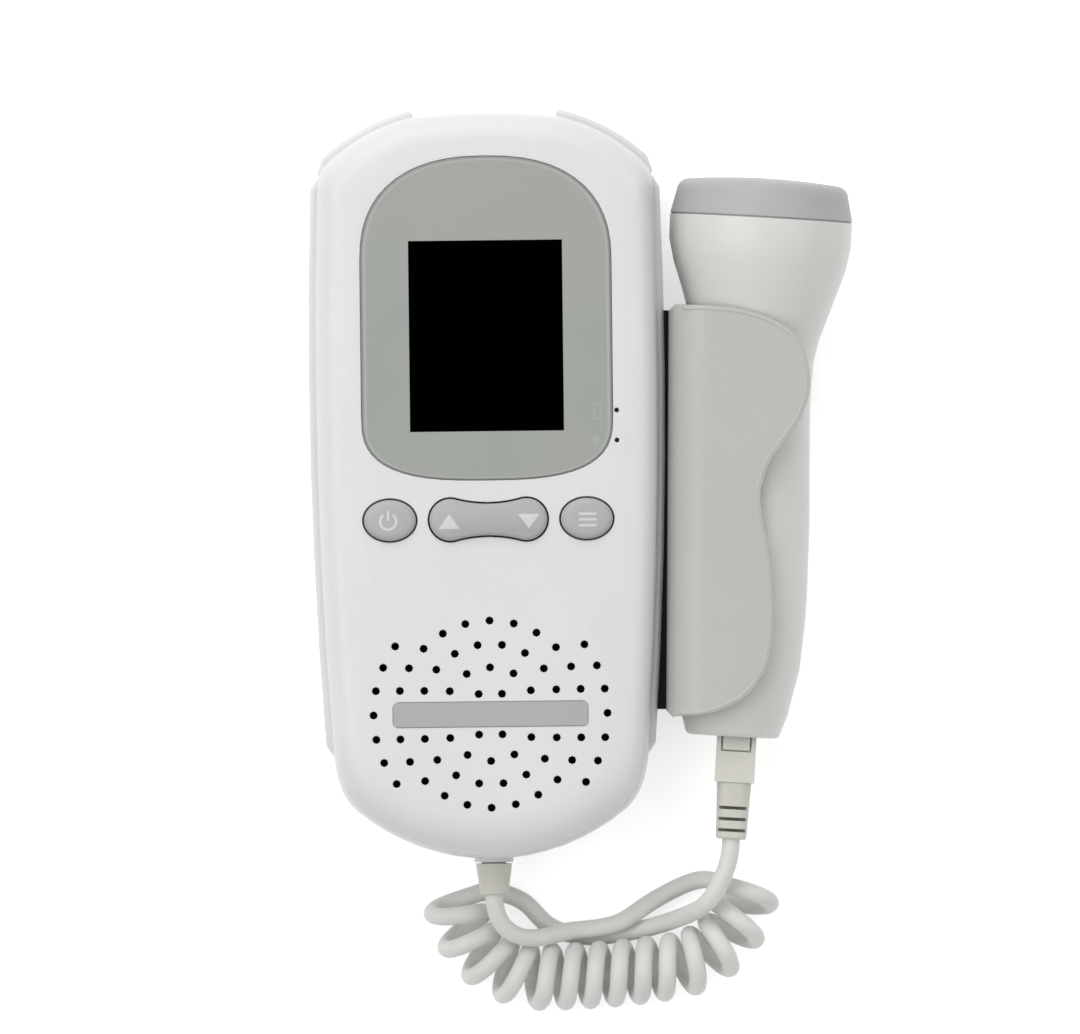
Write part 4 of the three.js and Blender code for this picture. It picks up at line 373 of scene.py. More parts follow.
def cord_run(start, out, places, end_heading, end):
    """The way of a straight end: out of its sleeve, through its places, eased as a cord lies."""
    line = smooth_line([
        start - out * FACE_GAP, start, start + out * CORD_RADIUS,
        *[Vector(place) * MM for place in places], end + end_heading * CORD_RADIUS, end,
    ], RUN_STEPS)
    # Neither the stretch inside the sleeve nor the last one at the curls moves
    first, last = RUN_STEPS + 1, RUN_STEPS - 1
    for _ in range(EASE_PASSES):
        middle = [
            a / 4 + b / 2 + c / 4
            for a, b, c in zip(line[first - 1:], line[first:], line[first + 1:1 - last])
        ]
        line = [*line[:first], *middle, *line[-last:]]
    return line


unit_tail_line = cord_run(RELIEF_END, RELIEF_OUT, UNIT_TAIL, end_out, coil_last)
probe_tail_line = cord_run(BOOT_END, BOOT_OUT, PROBE_TAIL, start_out, coil_first)
unit_tail = round_cord("unit_cord_end", unit_tail_line, pvc)
probe_tail = round_cord("probe_cord_end", probe_tail_line, pvc)
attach(unit_tail, "unit")
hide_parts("unit_tail")
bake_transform(probe_tail)
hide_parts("probe_tail")


def run_length(line):
    return sum((b - a).length for a, b in zip(line, line[1:]))


# Sleeve at the bottom of the monitor. Soft cream PVC moulded onto the cord, tapering outwards, with its
# flange held inside the case.
def cast(node, name, finish, smooth=35):
    """A piece in the shape of its CAD node, as one skin whose faces run smoothly into each other."""
    source = frame["nodes"][node]
    piece = bpy.data.objects.new(name, source.data.copy())
    bpy.context.collection.objects.link(piece)
    bpy.ops.object.select_all(action="DESELECT")
    bpy.context.view_layer.objects.active = piece
    piece.select_set(True)
    if piece.data.has_custom_normals:
        bpy.ops.mesh.customdata_custom_splitnormals_clear()
    bpy.ops.object.mode_set(mode="EDIT")
    bpy.ops.mesh.select_all(action="SELECT")
    bpy.ops.mesh.remove_doubles(threshold=0.002 * MM)
    bpy.ops.object.mode_set(mode="OBJECT")
    bpy.ops.object.shade_smooth_by_angle(angle=math.radians(smooth))
    piece.data.materials.clear()
    piece.data.materials.append(finish.material)
    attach(piece, source["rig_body"])
    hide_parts(node)
    return piece


def moulded(name, color, shade=4, roughness=0.4, grain=0.00003, edge=0.25 * MM, **constants):
    """Moulded plastic: a fine spark-eroded grain, slightly uneven gloss, a hint of uneven colour, and
    edges that are a little rounded."""
    finish = Finish(name, paint(*color), roughness=roughness, **constants)
    cloud = finish.noise(38, 3, 0.55)
    low = paint(*[max(level - shade, 0) for level in color])
    high = paint(*[min(level + shade / 2, 255) for level in color])
    finish.tone = finish.mixed(cloud.step(0.5, 0.7), low, high)
    finish.set("Base Color", finish.tone)
    finish.set("Roughness", roughness - 0.05 + cloud * 0.1)
    finish.bump(finish.noise(2600, 2, 0.6) + finish.noise(870, 1) * 0.4, grain, edge)
    return finish


cream = moulded("cream_pvc", (222, 221, 211), roughness=0.42, subsurface_weight=0.1,
                subsurface_scale=0.002)
cast("cord_relief", "cord_sleeve", cream, 40)

# Plug, latch and boot. The plug is moulded in cream nylon with a springy tab that clicks into the
# handle's socket, and the soft boot is moulded over plug and cord, with three slots that let it bend.
# Painted shade darkens the slots across the front of the boot.
def ease_edges(piece, width, segments, chosen, smooth=35):
    """Round the sharp edges of a cast piece that chosen() picks by the two ends of the edge."""
    bpy.ops.object.select_all(action="DESELECT")
    bpy.context.view_layer.objects.active = piece
    piece.select_set(True)
    bpy.ops.object.mode_set(mode="EDIT")
    bpy.ops.mesh.select_mode(type="EDGE")
    bpy.ops.mesh.select_all(action="SELECT")
    bpy.ops.mesh.dissolve_limited(angle_limit=math.radians(1))
    bpy.ops.mesh.select_all(action="DESELECT")
    bpy.ops.mesh.edges_select_sharp(sharpness=math.radians(25))
    bpy.ops.object.mode_set(mode="OBJECT")
    points = piece.data.vertices
    picked = [
        edge for edge in piece.data.edges
        if edge.select and chosen(*[points[end].co for end in edge.vertices])
    ]
    for item in (*points, *piece.data.edges, *piece.data.polygons):
        item.select = False
    for edge in picked:
        edge.select = True
        for end in edge.vertices:
            points[end].select = True
    bpy.ops.object.mode_set(mode="EDIT")
    bpy.ops.mesh.bevel(offset=width, segments=segments, affect="EDGES", clamp_overlap=True)
    bpy.ops.mesh.select_all(action="SELECT")
    bpy.ops.mesh.quads_convert_to_tris(quad_method="BEAUTY", ngon_method="BEAUTY")
    bpy.ops.mesh.select_mode(type="VERT")
    bpy.ops.object.mode_set(mode="OBJECT")
    bpy.ops.object.shade_smooth_by_angle(angle=math.radians(smooth))


plug_cream = moulded("plug_nylon", (234, 233, 224), roughness=0.36, subsurface_weight=0.15,
                     subsurface_scale=0.002)
plug = cast("plug_body", "plug", plug_cream, 30)
cast("plug_latch", "plug_latch_tab", plug_cream, 30)

HANDLE_TURN = math.radians(3.85)
BOOT_TOP = Vector((48.69, -60.42)) * MM
BOOT_SLOT_MIDDLES = (4.82, 7.07, 9.32)
BOOT_SLOT_WIDTH = 0.62
BOOT_SLOT_HALF = 2.75 * MM
boot_cream = moulded("boot_cream", (222, 221, 211), roughness=0.46, subsurface_weight=0.1,
                     subsurface_scale=0.002)
x, y, _ = boot_cream.axes()
down = (x - BOOT_TOP.x) * -math.sin(HANDLE_TURN) - (y - BOOT_TOP.y) * math.cos(HANDLE_TURN)
aside = abs((x - BOOT_TOP.x) * math.cos(HANDLE_TURN) - (y - BOOT_TOP.y) * math.sin(HANDLE_TURN))
away = abs(down - BOOT_SLOT_MIDDLES[0] * MM)
for middle in BOOT_SLOT_MIDDLES[1:]:
    away = away.least(abs(down - middle * MM))
# The three slots are painted darker than the cream, as painted shade in the grooves
outside_painted_slot_shade = (away - BOOT_SLOT_WIDTH / 2 * MM).most(aside - BOOT_SLOT_HALF).step(0, 0.1 * MM)
boot_cream.set("Base Color", boot_cream.mixed(outside_painted_slot_shade, paint(104, 102, 94), boot_cream.tone))
boot = cast("plug_boot", "plug_boot_sleeve", boot_cream, 30)


def below_boot_top(point):
    """How far a point is down the handle's line from the top of the boot."""
    return (BOOT_TOP - point.xy).dot(Vector((math.sin(HANDLE_TURN), math.cos(HANDLE_TURN))))


BOOT_LENGTH = 11.1 * MM
BOOT_EDGE = 0.45 * MM
PLUG_EDGE = 0.5 * MM
PLUG_LEAN = 0.8 * MM
PLUG_LONG = 4 * MM
TOUCH = 0.02 * MM
ease_edges(
    boot, BOOT_EDGE, 3, lambda a, b: min(below_boot_top(a), below_boot_top(b)) > BOOT_LENGTH - TOUCH
)
# The plug's four long edges lie along it
ease_edges(plug, PLUG_EDGE, 3, lambda a, b: (
    abs(a.x - b.x) < PLUG_LEAN and abs(a.y - b.y) > PLUG_LONG and abs(a.z - b.z) < TOUCH
))
# The boot is moulded onto the plug, so its top closes on the plug's lower face
for point in boot.data.vertices:
    if below_boot_top(point.co) < TOUCH:
        point.co -= BOOT_OUT * FACE_GAP

# Rear half of the case. A white ABS tray with a raised band down each side and on the two top corners,
# and posts for the four screws that pull the halves together.
case_white = moulded("case_abs", (234, 234, 234), 2, 0.36, edge=0.3 * MM)
cast("back_case", "rear_shell", case_white, 32)

# Front half of the case. White ABS with a domed edge, the seat of the window, the holes of the keys and
# two rings of drilled holes for the speaker.
cast("front_case", "front_shell", case_white, 32)

# Cloth behind the grille. A disc of black woven polyester, glued to the back of the face, that keeps
# dust off the speaker.
SPEAKER_MIDDLE = (0, -45.75 * MM)
CLOTH_RADIUS = 20.3 * MM
CLOTH_LOW = 35.25 * MM
CLOTH_THICK = 0.16 * MM
bpy.ops.object.select_all(action="DESELECT")
bpy.ops.mesh.primitive_circle_add(
    vertices=64, radius=CLOTH_RADIUS, fill_type="NGON", location=(*SPEAKER_MIDDLE, CLOTH_LOW)
)
cloth = bpy.context.object
cloth.name = "speaker_cloth"
bpy.ops.object.mode_set(mode="EDIT")
bpy.ops.mesh.extrude_region_move(TRANSFORM_OT_translate={"value": (0, 0, CLOTH_THICK)})
bpy.ops.mesh.select_all(action="SELECT")
bpy.ops.mesh.normals_make_consistent(inside=False)
bpy.ops.object.mode_set(mode="OBJECT")
bpy.ops.object.transform_apply(location=True, rotation=True, scale=True)
WEAVE_PITCH = 0.35 * MM
black_cloth = Finish("black_cloth", (0.004, 0.004, 0.004), roughness=0.95, specular_ior_level=0.1)
x, y, _ = black_cloth.axes()
threads = (x * (math.tau / WEAVE_PITCH)).wave() * (y * (math.tau / WEAVE_PITCH)).wave()
black_cloth.set(
    "Base Color", black_cloth.mixed(threads.step(0, 1), (0.002, 0.002, 0.002), (0.009, 0.009, 0.01))
)
black_cloth.bump(threads, 0.00005)
cloth.data.materials.append(black_cloth.material)
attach(cloth, "unit")

# Battery cover. The same white ABS. It slides down out of the back of the case, in two grooves.
cast("battery_door", "battery_cover", case_white, 30)

# Window. A clear acrylic pane printed grey-green on its back, with a black display behind the opening
# in the print. Its edge is cut at a slope, with a painted highlight along the slope and a painted
# shade line at the very edge. Two faint signs stand by the lights.
WINDOW_HALF = 24.9 * MM
ARCH_MIDDLE, ARCH_RISE, ARCH_POWER = 45 * MM, 20.7 * MM, 2.4
FOOT_MIDDLE, FOOT_DROP, FOOT_POWER = 14 * MM, 12.7 * MM, 2.9
DISPLAY_MIDDLE = (-0.06 * MM, 29.95 * MM)
DISPLAY_HALF = (15.4 * MM, 19.1 * MM)
# The rim's painted highlight and painted shade line, as shares of the way out to the edge
RIM_HIGHLIGHT, RIM_HIGHLIGHT_BLUR = 0.92, 0.03
RIM_SHADE, RIM_SHADE_BLUR = 0.972, 0.02
CELL_SIGN_MIDDLE = (22.05 * MM, 14.5 * MM)
CELL_SIGN_HALF = (0.62 * MM, 1.5 * MM)
CELL_TIP_HALF = (0.28 * MM, 0.2 * MM)
CELL_TIP_UP = 1.65 * MM
CELL_LINE_HALF = 0.13 * MM
LAMP_SIGN_MIDDLE = (21.7 * MM, 8.9 * MM)
LAMP_SIGN_RADIUS = 0.75 * MM
DISPLAY_BLACK = (0.0005, 0.0005, 0.0005)
lens = Finish("window_print", paint(168, 172, 166), roughness=0.2, coat_roughness=0.06)
x, y, _ = lens.axes()
arch = (abs(x) * (1 / WINDOW_HALF)) ** ARCH_POWER \
    + ((y - ARCH_MIDDLE).most(0) * (1 / ARCH_RISE)) ** ARCH_POWER
foot = (abs(x) * (1 / WINDOW_HALF)) ** FOOT_POWER \
    + ((FOOT_MIDDLE - y).most(0) * (1 / FOOT_DROP)) ** FOOT_POWER
rim = arch.most(foot)
drift = lens.noise(26, 2)
tone = lens.mixed(drift.step(0.5, 0.6), paint(164, 171, 164), paint(172, 173, 168))
# A painted highlight on the sloped edge, then a painted shade line at the very edge
tone = lens.mixed(rim.step(RIM_HIGHLIGHT, RIM_HIGHLIGHT_BLUR), tone, paint(180, 183, 179))
tone = lens.mixed(rim.step(RIM_SHADE, RIM_SHADE_BLUR), tone, paint(150, 153, 149))
across, along = abs(x - CELL_SIGN_MIDDLE[0]), y - CELL_SIGN_MIDDLE[1]
cell_sign = (across - CELL_SIGN_HALF[0]).most(abs(along) - CELL_SIGN_HALF[1])
cell_tip = (across - CELL_TIP_HALF[0]).most(abs(along - CELL_TIP_UP) - CELL_TIP_HALF[1])
cell_line = (abs(cell_sign) - CELL_LINE_HALF).least(cell_tip)
lamp_out = ((x - LAMP_SIGN_MIDDLE[0]) ** 2 + (y - LAMP_SIGN_MIDDLE[1]) ** 2) ** 0.5
lamp_sign = lamp_out - LAMP_SIGN_RADIUS
signs = cell_line.least(lamp_sign).step(0, 0.16 * MM)
tone = lens.mixed(signs, paint(178, 180, 177), tone)
beyond = (abs(x - DISPLAY_MIDDLE[0]) - DISPLAY_HALF[0]).most(
    abs(y - DISPLAY_MIDDLE[1]) - DISPLAY_HALF[1]
)
outside = beyond.step(0, 0.1 * MM)
lens.set("Base Color", lens.mixed(outside, DISPLAY_BLACK, tone))
lens.set("Metallic", 1 - outside)
lens.set("Roughness", 0.12 + outside * 0.1)
lens.set("Coat Weight", outside * 0.25)
cast("window", "window_pane", lens, 30)


def stretch(factors, middle):
    """Stretch the piece that was cast last about a point, so that it fills its seat."""
    bpy.ops.object.mode_set(mode="EDIT")
    bpy.ops.mesh.select_all(action="SELECT")
    bpy.ops.transform.resize(value=factors, center_override=middle)
    bpy.ops.object.mode_set(mode="OBJECT")


PANE_STRETCH = (1.008, 1.006, 1)
PANE_MIDDLE = (0, 33.5 * MM, 37.6 * MM)
stretch(PANE_STRETCH, PANE_MIDDLE)

# Keys. Grey rubber-touch ABS caps with a fine edge, two round ones and a waisted one that rocks, printed
# in white: a power sign, an up and a down arrow, and three bars on the mode key.
KEY_LEVEL = (186, 185, 183)
SIGN_WHITE = paint(222, 222, 220)
POWER_MIDDLE = (-20.05 * MM, -7 * MM)
POWER_RADIUS = 1.6 * MM
# How wide the power ring's gap opens, and where its bar lies, as shares of its radius
POWER_GAP = 0.75
POWER_BAR_MIDDLE, POWER_BAR_HALF = 0.7, 0.62
SIGN_LINE = 0.23 * MM
SIGN_BLUR = 0.12 * MM
UP_MIDDLE = (-7.85 * MM, -7.15 * MM)
DOWN_MIDDLE = (8.1 * MM, -7.2 * MM)
ARROW_HALF_WIDTH = 2.15 * MM
ARROW_HEIGHT = 2.9 * MM
MODE_MIDDLE = (19.9 * MM, -7 * MM)
BAR_HALF_LENGTH = 1.75 * MM
BAR_PITCH = 1.15 * MM


def arrow(x, y, middle, way):
    """How far a point is outside an arrow head that points up (1) or down (-1)."""
    across = abs(x - middle[0])
    up = (y - middle[1]) * way + ARROW_HEIGHT / 2
    slope = ARROW_HALF_WIDTH / ARROW_HEIGHT
    return (across + up * slope - ARROW_HALF_WIDTH).most(0 - up)


def printed_key(name, draw):
    finish = moulded(name, KEY_LEVEL, 3, 0.45, edge=0.35 * MM)
    x, y, _ = finish.axes()
    bare = draw(x, y).step(0, SIGN_BLUR)
    finish.set("Base Color", finish.mixed(bare, SIGN_WHITE, finish.tone))
    return finish


def power_sign(x, y):
    across, up = x - POWER_MIDDLE[0], y - POWER_MIDDLE[1]
    ring = abs((across ** 2 + up ** 2) ** 0.5 - POWER_RADIUS) - SIGN_LINE
    gap = (up * POWER_GAP - abs(across)).least(up)
    bar = (abs(across) - SIGN_LINE).most(
        abs(up - POWER_RADIUS * POWER_BAR_MIDDLE) - POWER_RADIUS * POWER_BAR_HALF
    )
    return ring.most(gap).least(bar)


def mode_sign(x, y):
    across, up = abs(x - MODE_MIDDLE[0]), y - MODE_MIDDLE[1]
    from_bar = abs(up).least(abs(up - BAR_PITCH)).least(abs(up + BAR_PITCH))
    return (across - BAR_HALF_LENGTH).most(from_bar - SIGN_LINE)


def arrows(x, y):
    return arrow(x, y, UP_MIDDLE, 1).least(arrow(x, y, DOWN_MIDDLE, -1))


cast("power_key", "power_button", printed_key("power_key_grey", power_sign), 40)
cast("mode_key", "mode_button", printed_key("mode_key_grey", mode_sign), 40)
cast("rocker_key", "rocker_button", printed_key("rocker_key_grey", arrows), 40)

# Strip. A plain satin grey label let into the face across the speaker holes, left bare.
STRIP_MIDDLE = (0, -45.75 * MM, 37.7 * MM)
STRIP_STRETCH = (1.012, 1.1, 1)
strip_grey = moulded("strip_grey", (183, 182, 180), 3, 0.42, edge=0.15 * MM)
cast("label_strip", "plain_strip", strip_grey, 30)
stretch(STRIP_STRETCH, STRIP_MIDDLE)


# Speaker. A stamped steel basket painted black, a ribbed paper cone with a dust cap, and a ring magnet.
def dress(finish, *nodes):
    """Give carried-over solids their finish."""
    for node in nodes:
        for slot in frame["nodes"][node].material_slots:
            slot.material = finish.material


basket_black = moulded("basket_black", (38, 38, 40), 5, 0.45)
magnet_grey = moulded("magnet_ferrite", (72, 72, 74), 8, 0.55, 0.00005)
CONE_RIB_PITCH = 1.1 * MM
cone_paper = Finish("cone_paper", paint(44, 43, 42), roughness=0.9, sheen_weight=0.2)
x, y, _ = cone_paper.axes()
out = ((x - SPEAKER_MIDDLE[0]) ** 2 + (y - SPEAKER_MIDDLE[1]) ** 2) ** 0.5
ribs = (out * (math.tau / CONE_RIB_PITCH)).wave()
fibre = cone_paper.noise(900, 4, 0.7)
cone_paper.set(
    "Base Color", cone_paper.mixed(fibre.step(0.5, 0.4), paint(36, 35, 34), paint(54, 52, 50))
)
cone_paper.bump(ribs * 0.7 + fibre * 0.4, 0.00012)
dress(basket_black, "speaker_basket")
dress(cone_paper, "speaker_cone")
dress(magnet_grey, "speaker_magnet")


# Display. A black glass cell over a white acrylic light guide, in a folded tin frame.
def brushed(name, color, roughness=0.3, along=(1, 40, 40)):
    """Plated sheet with fine drawn lines along one way."""
    finish = Finish(name, paint(*color), roughness=roughness, metallic=1)
    way = finish.node("Mapping", sockets={"Vector": finish.place(), "Scale": along})
    lines = finish.noise(180, 3, 0.6, way)
    finish.set("Roughness", roughness - 0.08 + lines * 0.18)
    finish.set("Base Color", finish.mixed(
        lines.step(0.5, 0.6), paint(*[level - 14 for level in color]), paint(*color)
    ))
    finish.bump(lines, 0.00002)
    return finish


tin = brushed("tin_plate", (196, 197, 199), 0.34, (30, 1, 30))
cell_glass = Finish("display_glass", paint(12, 13, 16), roughness=0.08, coat_weight=0.5)
cell_glass.set("Roughness", 0.06 + cell_glass.noise(60, 2) * 0.06)
guide = Finish("light_guide", paint(232, 236, 232), roughness=0.25, subsurface_weight=0.3,
               subsurface_scale=0.004)
guide.bump(guide.noise(1500, 1), 0.00003)
dress(tin, "lcd_bezel")
dress(cell_glass, "lcd_panel")
dress(guide, "lcd_backlight")

# Boards. Glass-epoxy sheet under green solder mask, with copper tracks below it that run along and
# across, and rows of tinned pads. The black pieces on it are the chips and the key switches.
TRACK_PITCH = 1.27 * MM
green_board = Finish("green_board", paint(28, 96, 58), roughness=0.35, coat_weight=0.3)
x, y, z = green_board.axes()
patch = green_board.noise(95, 1, 0.4).step(0.52, 0.03)
tracks_along = (x * (math.tau / TRACK_PITCH)).wave().step(0.35, 0.3)
tracks_across = ((y + z) * (math.tau / TRACK_PITCH)).wave().step(0.45, 0.3)
tracks = tracks_along * patch + tracks_across * (1 - patch)
pads = ((x * (math.tau / 2 / TRACK_PITCH)).wave() * ((y + z) * (math.tau / 3 / TRACK_PITCH)).wave())
pads = pads.step(0.93, 0.02)
mask_green = green_board.mixed(tracks, paint(22, 84, 50), paint(44, 122, 72))
green_board.set("Base Color", green_board.mixed(pads, mask_green, paint(205, 202, 190)))
green_board.set("Metallic", pads * 0.9)
green_board.set("Roughness", 0.4 - tracks * 0.08)
green_board.bump(tracks + pads, 0.00003)
chip_black = moulded("chip_epoxy", (34, 34, 36), 4, 0.55, 0.00004)
switch_black = moulded("switch_nylon", (26, 26, 28), 4, 0.4)
smoke = moulded("smoked_pipe", (14, 14, 15), 2, 0.15, 0.00001)
dress(green_board, "main_board", "socket_board", "probe_board")
dress(chip_black, "processor_chip", "amplifier_chip")
dress(switch_black, "power_switch", "up_switch", "down_switch", "mode_switch")
dress(smoke, "light_pipe")

# Cells. Two round cells in plain blue shrink sleeves that leave the steel ends bare, in series between
# plated springs and plates.
sleeve_blue = Finish("cell_sleeve", paint(58, 84, 132), roughness=0.3, coat_weight=0.3)
_, y, _ = sleeve_blue.axes()
cell_low, cell_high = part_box("battery_left")
END_BARE = 2 * MM
sleeved = (y - cell_low[1] - END_BARE).least(cell_high[1] - END_BARE - y).step(0, 0.2 * MM)
crinkle = sleeve_blue.noise(220, 2)
shade_blue = sleeve_blue.mixed(crinkle.step(0.5, 0.6), paint(50, 76, 122), paint(64, 92, 142))
sleeve_blue.set("Base Color", sleeve_blue.mixed(sleeved, paint(190, 190, 188), shade_blue))
sleeve_blue.set("Metallic", 1 - sleeved)
sleeve_blue.bump(crinkle * sleeved, 0.00006)
nickel = brushed("nickel_plate", (186, 184, 178), 0.28)
dress(sleeve_blue, "battery_left", "battery_right")
dress(nickel, "battery_bridge", "spring_contact", "flat_contact")

# Sockets and screws. A black earphone jack and a drawn steel charging socket open at the top end, and
# zinc-plated screws hold the case and the holder.
jack_black = moulded("jack_black", (24, 24, 26), 3, 0.35)
shell_steel = brushed("socket_steel", (190, 192, 195), 0.26, (1, 30, 1))
zinc = brushed("zinc_screw", (176, 178, 182), 0.32)
dress(jack_black, "earphone_jack", "probe_socket")
dress(shell_steel, "charge_port")
dress(zinc, *["case_screw_%d" % number for number in range(1, 5)], "holder_screw_1", "holder_screw_2")

# Holder. A grey ABS clip, open to the side, that two screws hold against the case. Its front arm ends in
# a wavy lip, whose rim is rolled a little so that the handle snaps in and out.
HOLDER_PLACE = Vector((35.877, -5.4)) * MM
HOLDER_TURN = math.radians(0.982)
HOLDER_REACH = 28.2 * MM
HOLDER_LENGTH = 82.6 * MM
HOLDER_FACES = (35.2 * MM, 2.8 * MM)
# The lip's edge from the top end round to the bottom end, as shares of the reach and the length
LIP_SHARES = [
    (0.31, 0.498), (0.5, 0.491), (0.745, 0.465), (0.935, 0.415), (1, 0.335), (0.997, 0.285),
    (0.955, 0.237), (0.845, 0.177), (0.735, 0.125), (0.683, 0.08), (0.658, 0.035),
    (0.685, -0.035), (0.738, -0.134), (0.757, -0.265), (0.727, -0.355), (0.652, -0.414),
    (0.52, -0.461), (0.334, -0.489),
]
HOLDER_CORNER = 8 * MM
# Where the rim's bead begins and ends, on the round corner of the holder's back
BEAD_STARTS = [(0.1, 0.4995), (0.15, 0.4993), (0.22, 0.499)]
BEAD_ENDS = [(0.24, -0.4965), (0.17, -0.4985), (0.1, -0.4985)]
BEAD_RADIUS = 0.6 * MM
BEAD_INSET = 0.7 * MM
BEAD_PROUD = 0.12 * MM
HOLDER_END_ROUND = 1.3 * MM
HOLDER_CORNER_EDGE = 0.8 * MM
CORNER_NEAR = 0.3 * MM
RIM_STEPS = 5
holder_grey = moulded("holder_abs", (196, 197, 192), 3, 0.42, edge=0.4 * MM)
clip = cast("holder", "probe_holder", holder_grey, 34)


def on_holder(along, up, height):
    """A point given in the holder's own turned frame."""
    cos, sin = math.cos(HOLDER_TURN), math.sin(HOLDER_TURN)
    return Vector((
        HOLDER_PLACE.x + along * cos + up * sin, HOLDER_PLACE.y - along * sin + up * cos, height,
    ))


def back_corner(a, b):
    """Whether an edge is one of the four upright ones that bound the two cut corners of the back."""
    spots = [
        (HOLDER_END_ROUND, HOLDER_LENGTH / 2), (0, HOLDER_LENGTH / 2 - HOLDER_END_ROUND),
    ]
    corners = [on_holder(along, up * way, 0).xy for along, up in spots for way in (1, -1)]
    return (a - b).xy.length < CORNER_NEAR and any(
        (a.xy - corner).length < CORNER_NEAR for corner in corners
    )


ease_edges(clip, HOLDER_CORNER_EDGE, 3, back_corner, 34)


def rim_point(share_along, share_up, face, side):
    """A point of the lip's edge, under the skin of the front arm (side 1) or the rear one (-1)."""
    along = share_along * HOLDER_REACH
    inward = max(HOLDER_CORNER - along, 0)
    drop = HOLDER_CORNER - math.sqrt(HOLDER_CORNER ** 2 - inward ** 2)
    height = face + (BEAD_PROUD - BEAD_RADIUS - drop) * side
    return on_holder(along, share_up * HOLDER_LENGTH, height)


for face, side, name in zip(HOLDER_FACES, (1, -1), ("front_lip_bead", "rear_lip_bead")):
    edge = smooth_line([
        rim_point(*shares, face, side) for shares in [*BEAD_STARTS, *LIP_SHARES, *BEAD_ENDS]
    ], RIM_STEPS)
    inset = [
        b + Vector((b.y - a.y, a.x - b.x, 0)).normalized() * BEAD_INSET
        for a, b in zip(edge, edge[1:])
    ]
    bead = round_cord(name, inset, holder_grey, BEAD_RADIUS)
    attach(bead, "unit")

# Shade between holder and case. A black wedge on the holder's back, cut to the curve of the case, that
# fills the narrow gap and stands in for the deep shade there: painted shade as a dark piece.
GAP_SHADE_LOW = 5 * MM
GAP_SHADE_HIGH = 26.4 * MM
# Its lower and upper ends, as shares of the holder's length
GAP_SHADE_ENDS = (-0.482, 0.486)
GAP_SHADE_CUTS = 15
GAP_SHADE_GRIP = 0.03 * MM
GAP_SHADE_CLEAR = 0.07 * MM
GAP_SHADE_MOST = 1.9 * MM
# How far out the side of the case stands, up its length
CASE_SIDE = [
    (-47, 33.3), (-46, 33.36), (-40, 33.74), (-30, 34.31), (-20, 34.76), (-10, 35.13), (0, 35.4),
    (10, 35.55), (20, 35.64), (30, 35.59), (36, 35.53),
]


def case_side(y):
    for (low_y, low_x), (high_y, high_x) in zip(CASE_SIDE, CASE_SIDE[1:]):
        if y <= high_y * MM:
            break
    return (low_x + (high_x - low_x) * (y / MM - low_y) / (high_y - low_y)) * MM


gap_shade_low, gap_shade_high = [on_holder(0, share * HOLDER_LENGTH, 0) for share in GAP_SHADE_ENDS]
bpy.ops.object.select_all(action="DESELECT")
bpy.ops.mesh.primitive_cube_add(size=1, location=(0, 0, (GAP_SHADE_LOW + GAP_SHADE_HIGH) / 2))
gap_shade = bpy.context.object
gap_shade.name = "holder_gap_shade"
bpy.ops.object.mode_set(mode="EDIT")
bpy.ops.mesh.select_all(action="SELECT")
bpy.ops.transform.resize(
    value=(1 * MM, 1, GAP_SHADE_HIGH - GAP_SHADE_LOW), center_override=(0, 0, (GAP_SHADE_LOW + GAP_SHADE_HIGH) / 2)
)
bpy.ops.mesh.subdivide(number_cuts=GAP_SHADE_CUTS)
bpy.ops.object.mode_set(mode="OBJECT")
bpy.ops.object.transform_apply(location=True, rotation=True, scale=True)
for point in gap_shade.data.vertices:
    back = gap_shade_low.lerp(gap_shade_high, point.co.y + 0.5)
    near = max(case_side(back.y) + GAP_SHADE_CLEAR, back.x - GAP_SHADE_MOST)
    far = back.x + GAP_SHADE_GRIP
    point.co.x = near + (far - near) * (point.co.x / MM + 0.5)
    point.co.y = back.y
# Its black with a faint speckle is painted shade for the gap
gap_shade_black = Finish("black_gap_shade", paint(16, 16, 17), roughness=0.85, specular_ior_level=0.3)
shade_speckle = gap_shade_black.node("TexVoronoi", sockets={"Vector": gap_shade_black.place(), "Scale": 1800})
gap_shade_black.set(
    "Base Color", gap_shade_black.mixed(shade_speckle.step(0.4, 0.3), paint(9, 9, 10), paint(24, 24, 25))
)
gap_shade_black.bump(shade_speckle, 0.00008)
gap_shade.data.materials.append(gap_shade_black.material)
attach(gap_shade, "unit")

# Handle. A warm white ABS shell, turned like a small microphone: a wide head and a slim grip.
HANDLE_LEVEL = 19 * MM
SOCKET_HALF = 6 * MM


def inside_socket(point):
    """Whether a point is on the rim of the opening that the plug goes in by."""
    aside = (point.xy - BOOT_TOP).dot(Vector((math.cos(HANDLE_TURN), -math.sin(HANDLE_TURN))))
    return abs(aside) < SOCKET_HALF and abs(point.z - HANDLE_LEVEL) < SOCKET_HALF


probe_white = moulded("probe_abs", (231, 229, 226), 3, 0.34, edge=0.3 * MM)
handle = cast("probe_housing", "probe_body", probe_white, 34)
# How far the handle's flat end lies above the top of the boot
HANDLE_END = 9.5 * MM
HANDLE_EDGE = 1.3 * MM


def on_end_rim(point):
    """Whether a point is on the outer rim of the handle's flat end."""
    return (
        abs(below_boot_top(point) + HANDLE_END) < TOUCH * 4
        and (point.xy - BOOT_TOP).length > HANDLE_END and not inside_socket(point)
    )


ease_edges(handle, HANDLE_EDGE, 4, lambda a, b: on_end_rim(a) and on_end_rim(b), 34)

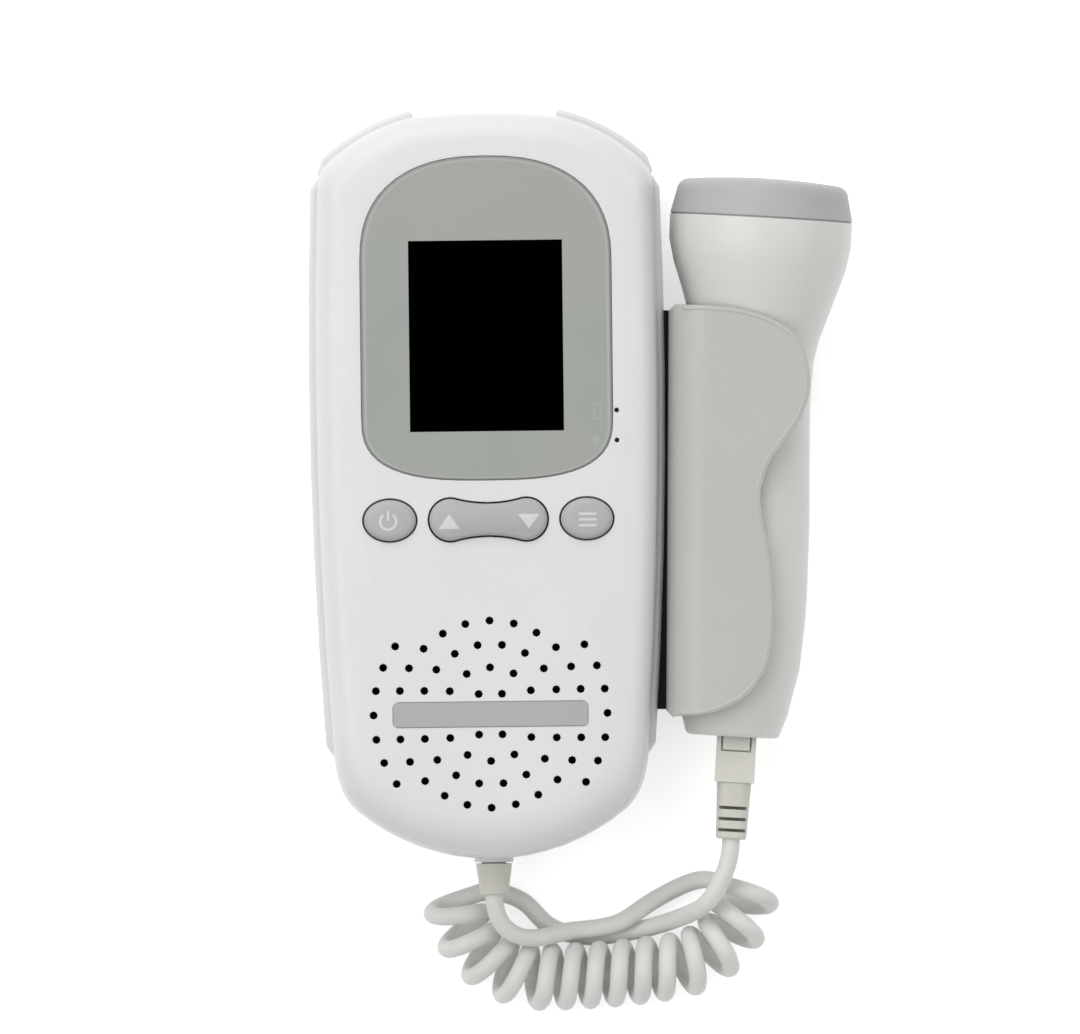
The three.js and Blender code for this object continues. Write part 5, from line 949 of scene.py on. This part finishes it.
# Cap of the head. Soft grey silicone, a little crowned, over the crystals, with a thin ring of the same
# in the joint below it.
HEAD_MIDDLE = Vector((55.83 * MM, 59.07 * MM, HANDLE_LEVEL))
HEAD_OUT = Vector((math.sin(HANDLE_TURN), math.cos(HANDLE_TURN), 0))
SEAL_DOWN = 5.95 * MM
SEAL_THICK = 0.4 * MM
SEAL_EDGE = 0.06 * MM
SEAL_RADIUS = 18.1 * MM
cap_grey = moulded("cap_silicone", (184, 184, 185), 3, 0.5, edge=0.3 * MM)
cast("probe_cap", "probe_face", cap_grey, 34)
bpy.ops.object.select_all(action="DESELECT")
bpy.ops.mesh.primitive_cylinder_add(vertices=72, radius=SEAL_RADIUS, depth=SEAL_THICK)
seal = bpy.context.object
seal.name = "cap_seal"
bpy.ops.object.mode_set(mode="EDIT")
bpy.ops.mesh.select_all(action="SELECT")
bpy.ops.mesh.bevel(offset=SEAL_EDGE, segments=2, affect="EDGES")
bpy.ops.object.mode_set(mode="OBJECT")
bpy.ops.object.shade_smooth_by_angle(angle=math.radians(35))
seal.rotation_euler = (math.radians(-90), 0, -HANDLE_TURN)
seal.location = HEAD_MIDDLE - HEAD_OUT * SEAL_DOWN
bpy.ops.object.transform_apply(location=True, rotation=True, scale=True)
seal_grey = moulded("seal_silicone", (170, 170, 171), 3, 0.55)
seal.data.materials.append(seal_grey.material)
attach(seal, "probe")

# Inside the head. Two half-round plates of fired ceramic, one to send and one to hear, with silver
# faces, on a backing of grey foam.
ceramic = Finish("crystal_ceramic", paint(210, 200, 176), roughness=0.35)
speck = ceramic.noise(420, 3, 0.6)
silver = ceramic.noise(30, 1).step(0.55, 0.03)
ceramic.set("Base Color", ceramic.mixed(
    silver, ceramic.mixed(speck.step(0.5, 0.5), paint(198, 188, 164), paint(216, 207, 184)),
    paint(196, 197, 198),
))
ceramic.set("Metallic", silver * 0.9)
ceramic.bump(speck, 0.00002)
foam_grey = Finish("backing_foam", paint(74, 76, 78), roughness=0.95, specular_ior_level=0.2)
bubbles = foam_grey.node("TexVoronoi", sockets={"Vector": foam_grey.place(), "Scale": 1300})
foam_grey.set(
    "Base Color", foam_grey.mixed(bubbles.step(0.45, 0.4), paint(52, 54, 56), paint(92, 94, 96))
)
foam_grey.bump(bubbles, 0.0002)
dress(ceramic, "transmit_crystal", "receive_crystal")
dress(foam_grey, "backing_foam")

# The lengths of the cord's three runs, each going back into the object at its far end.
run_length(coil_line)
run_length(unit_tail_line)
run_length(probe_tail_line)
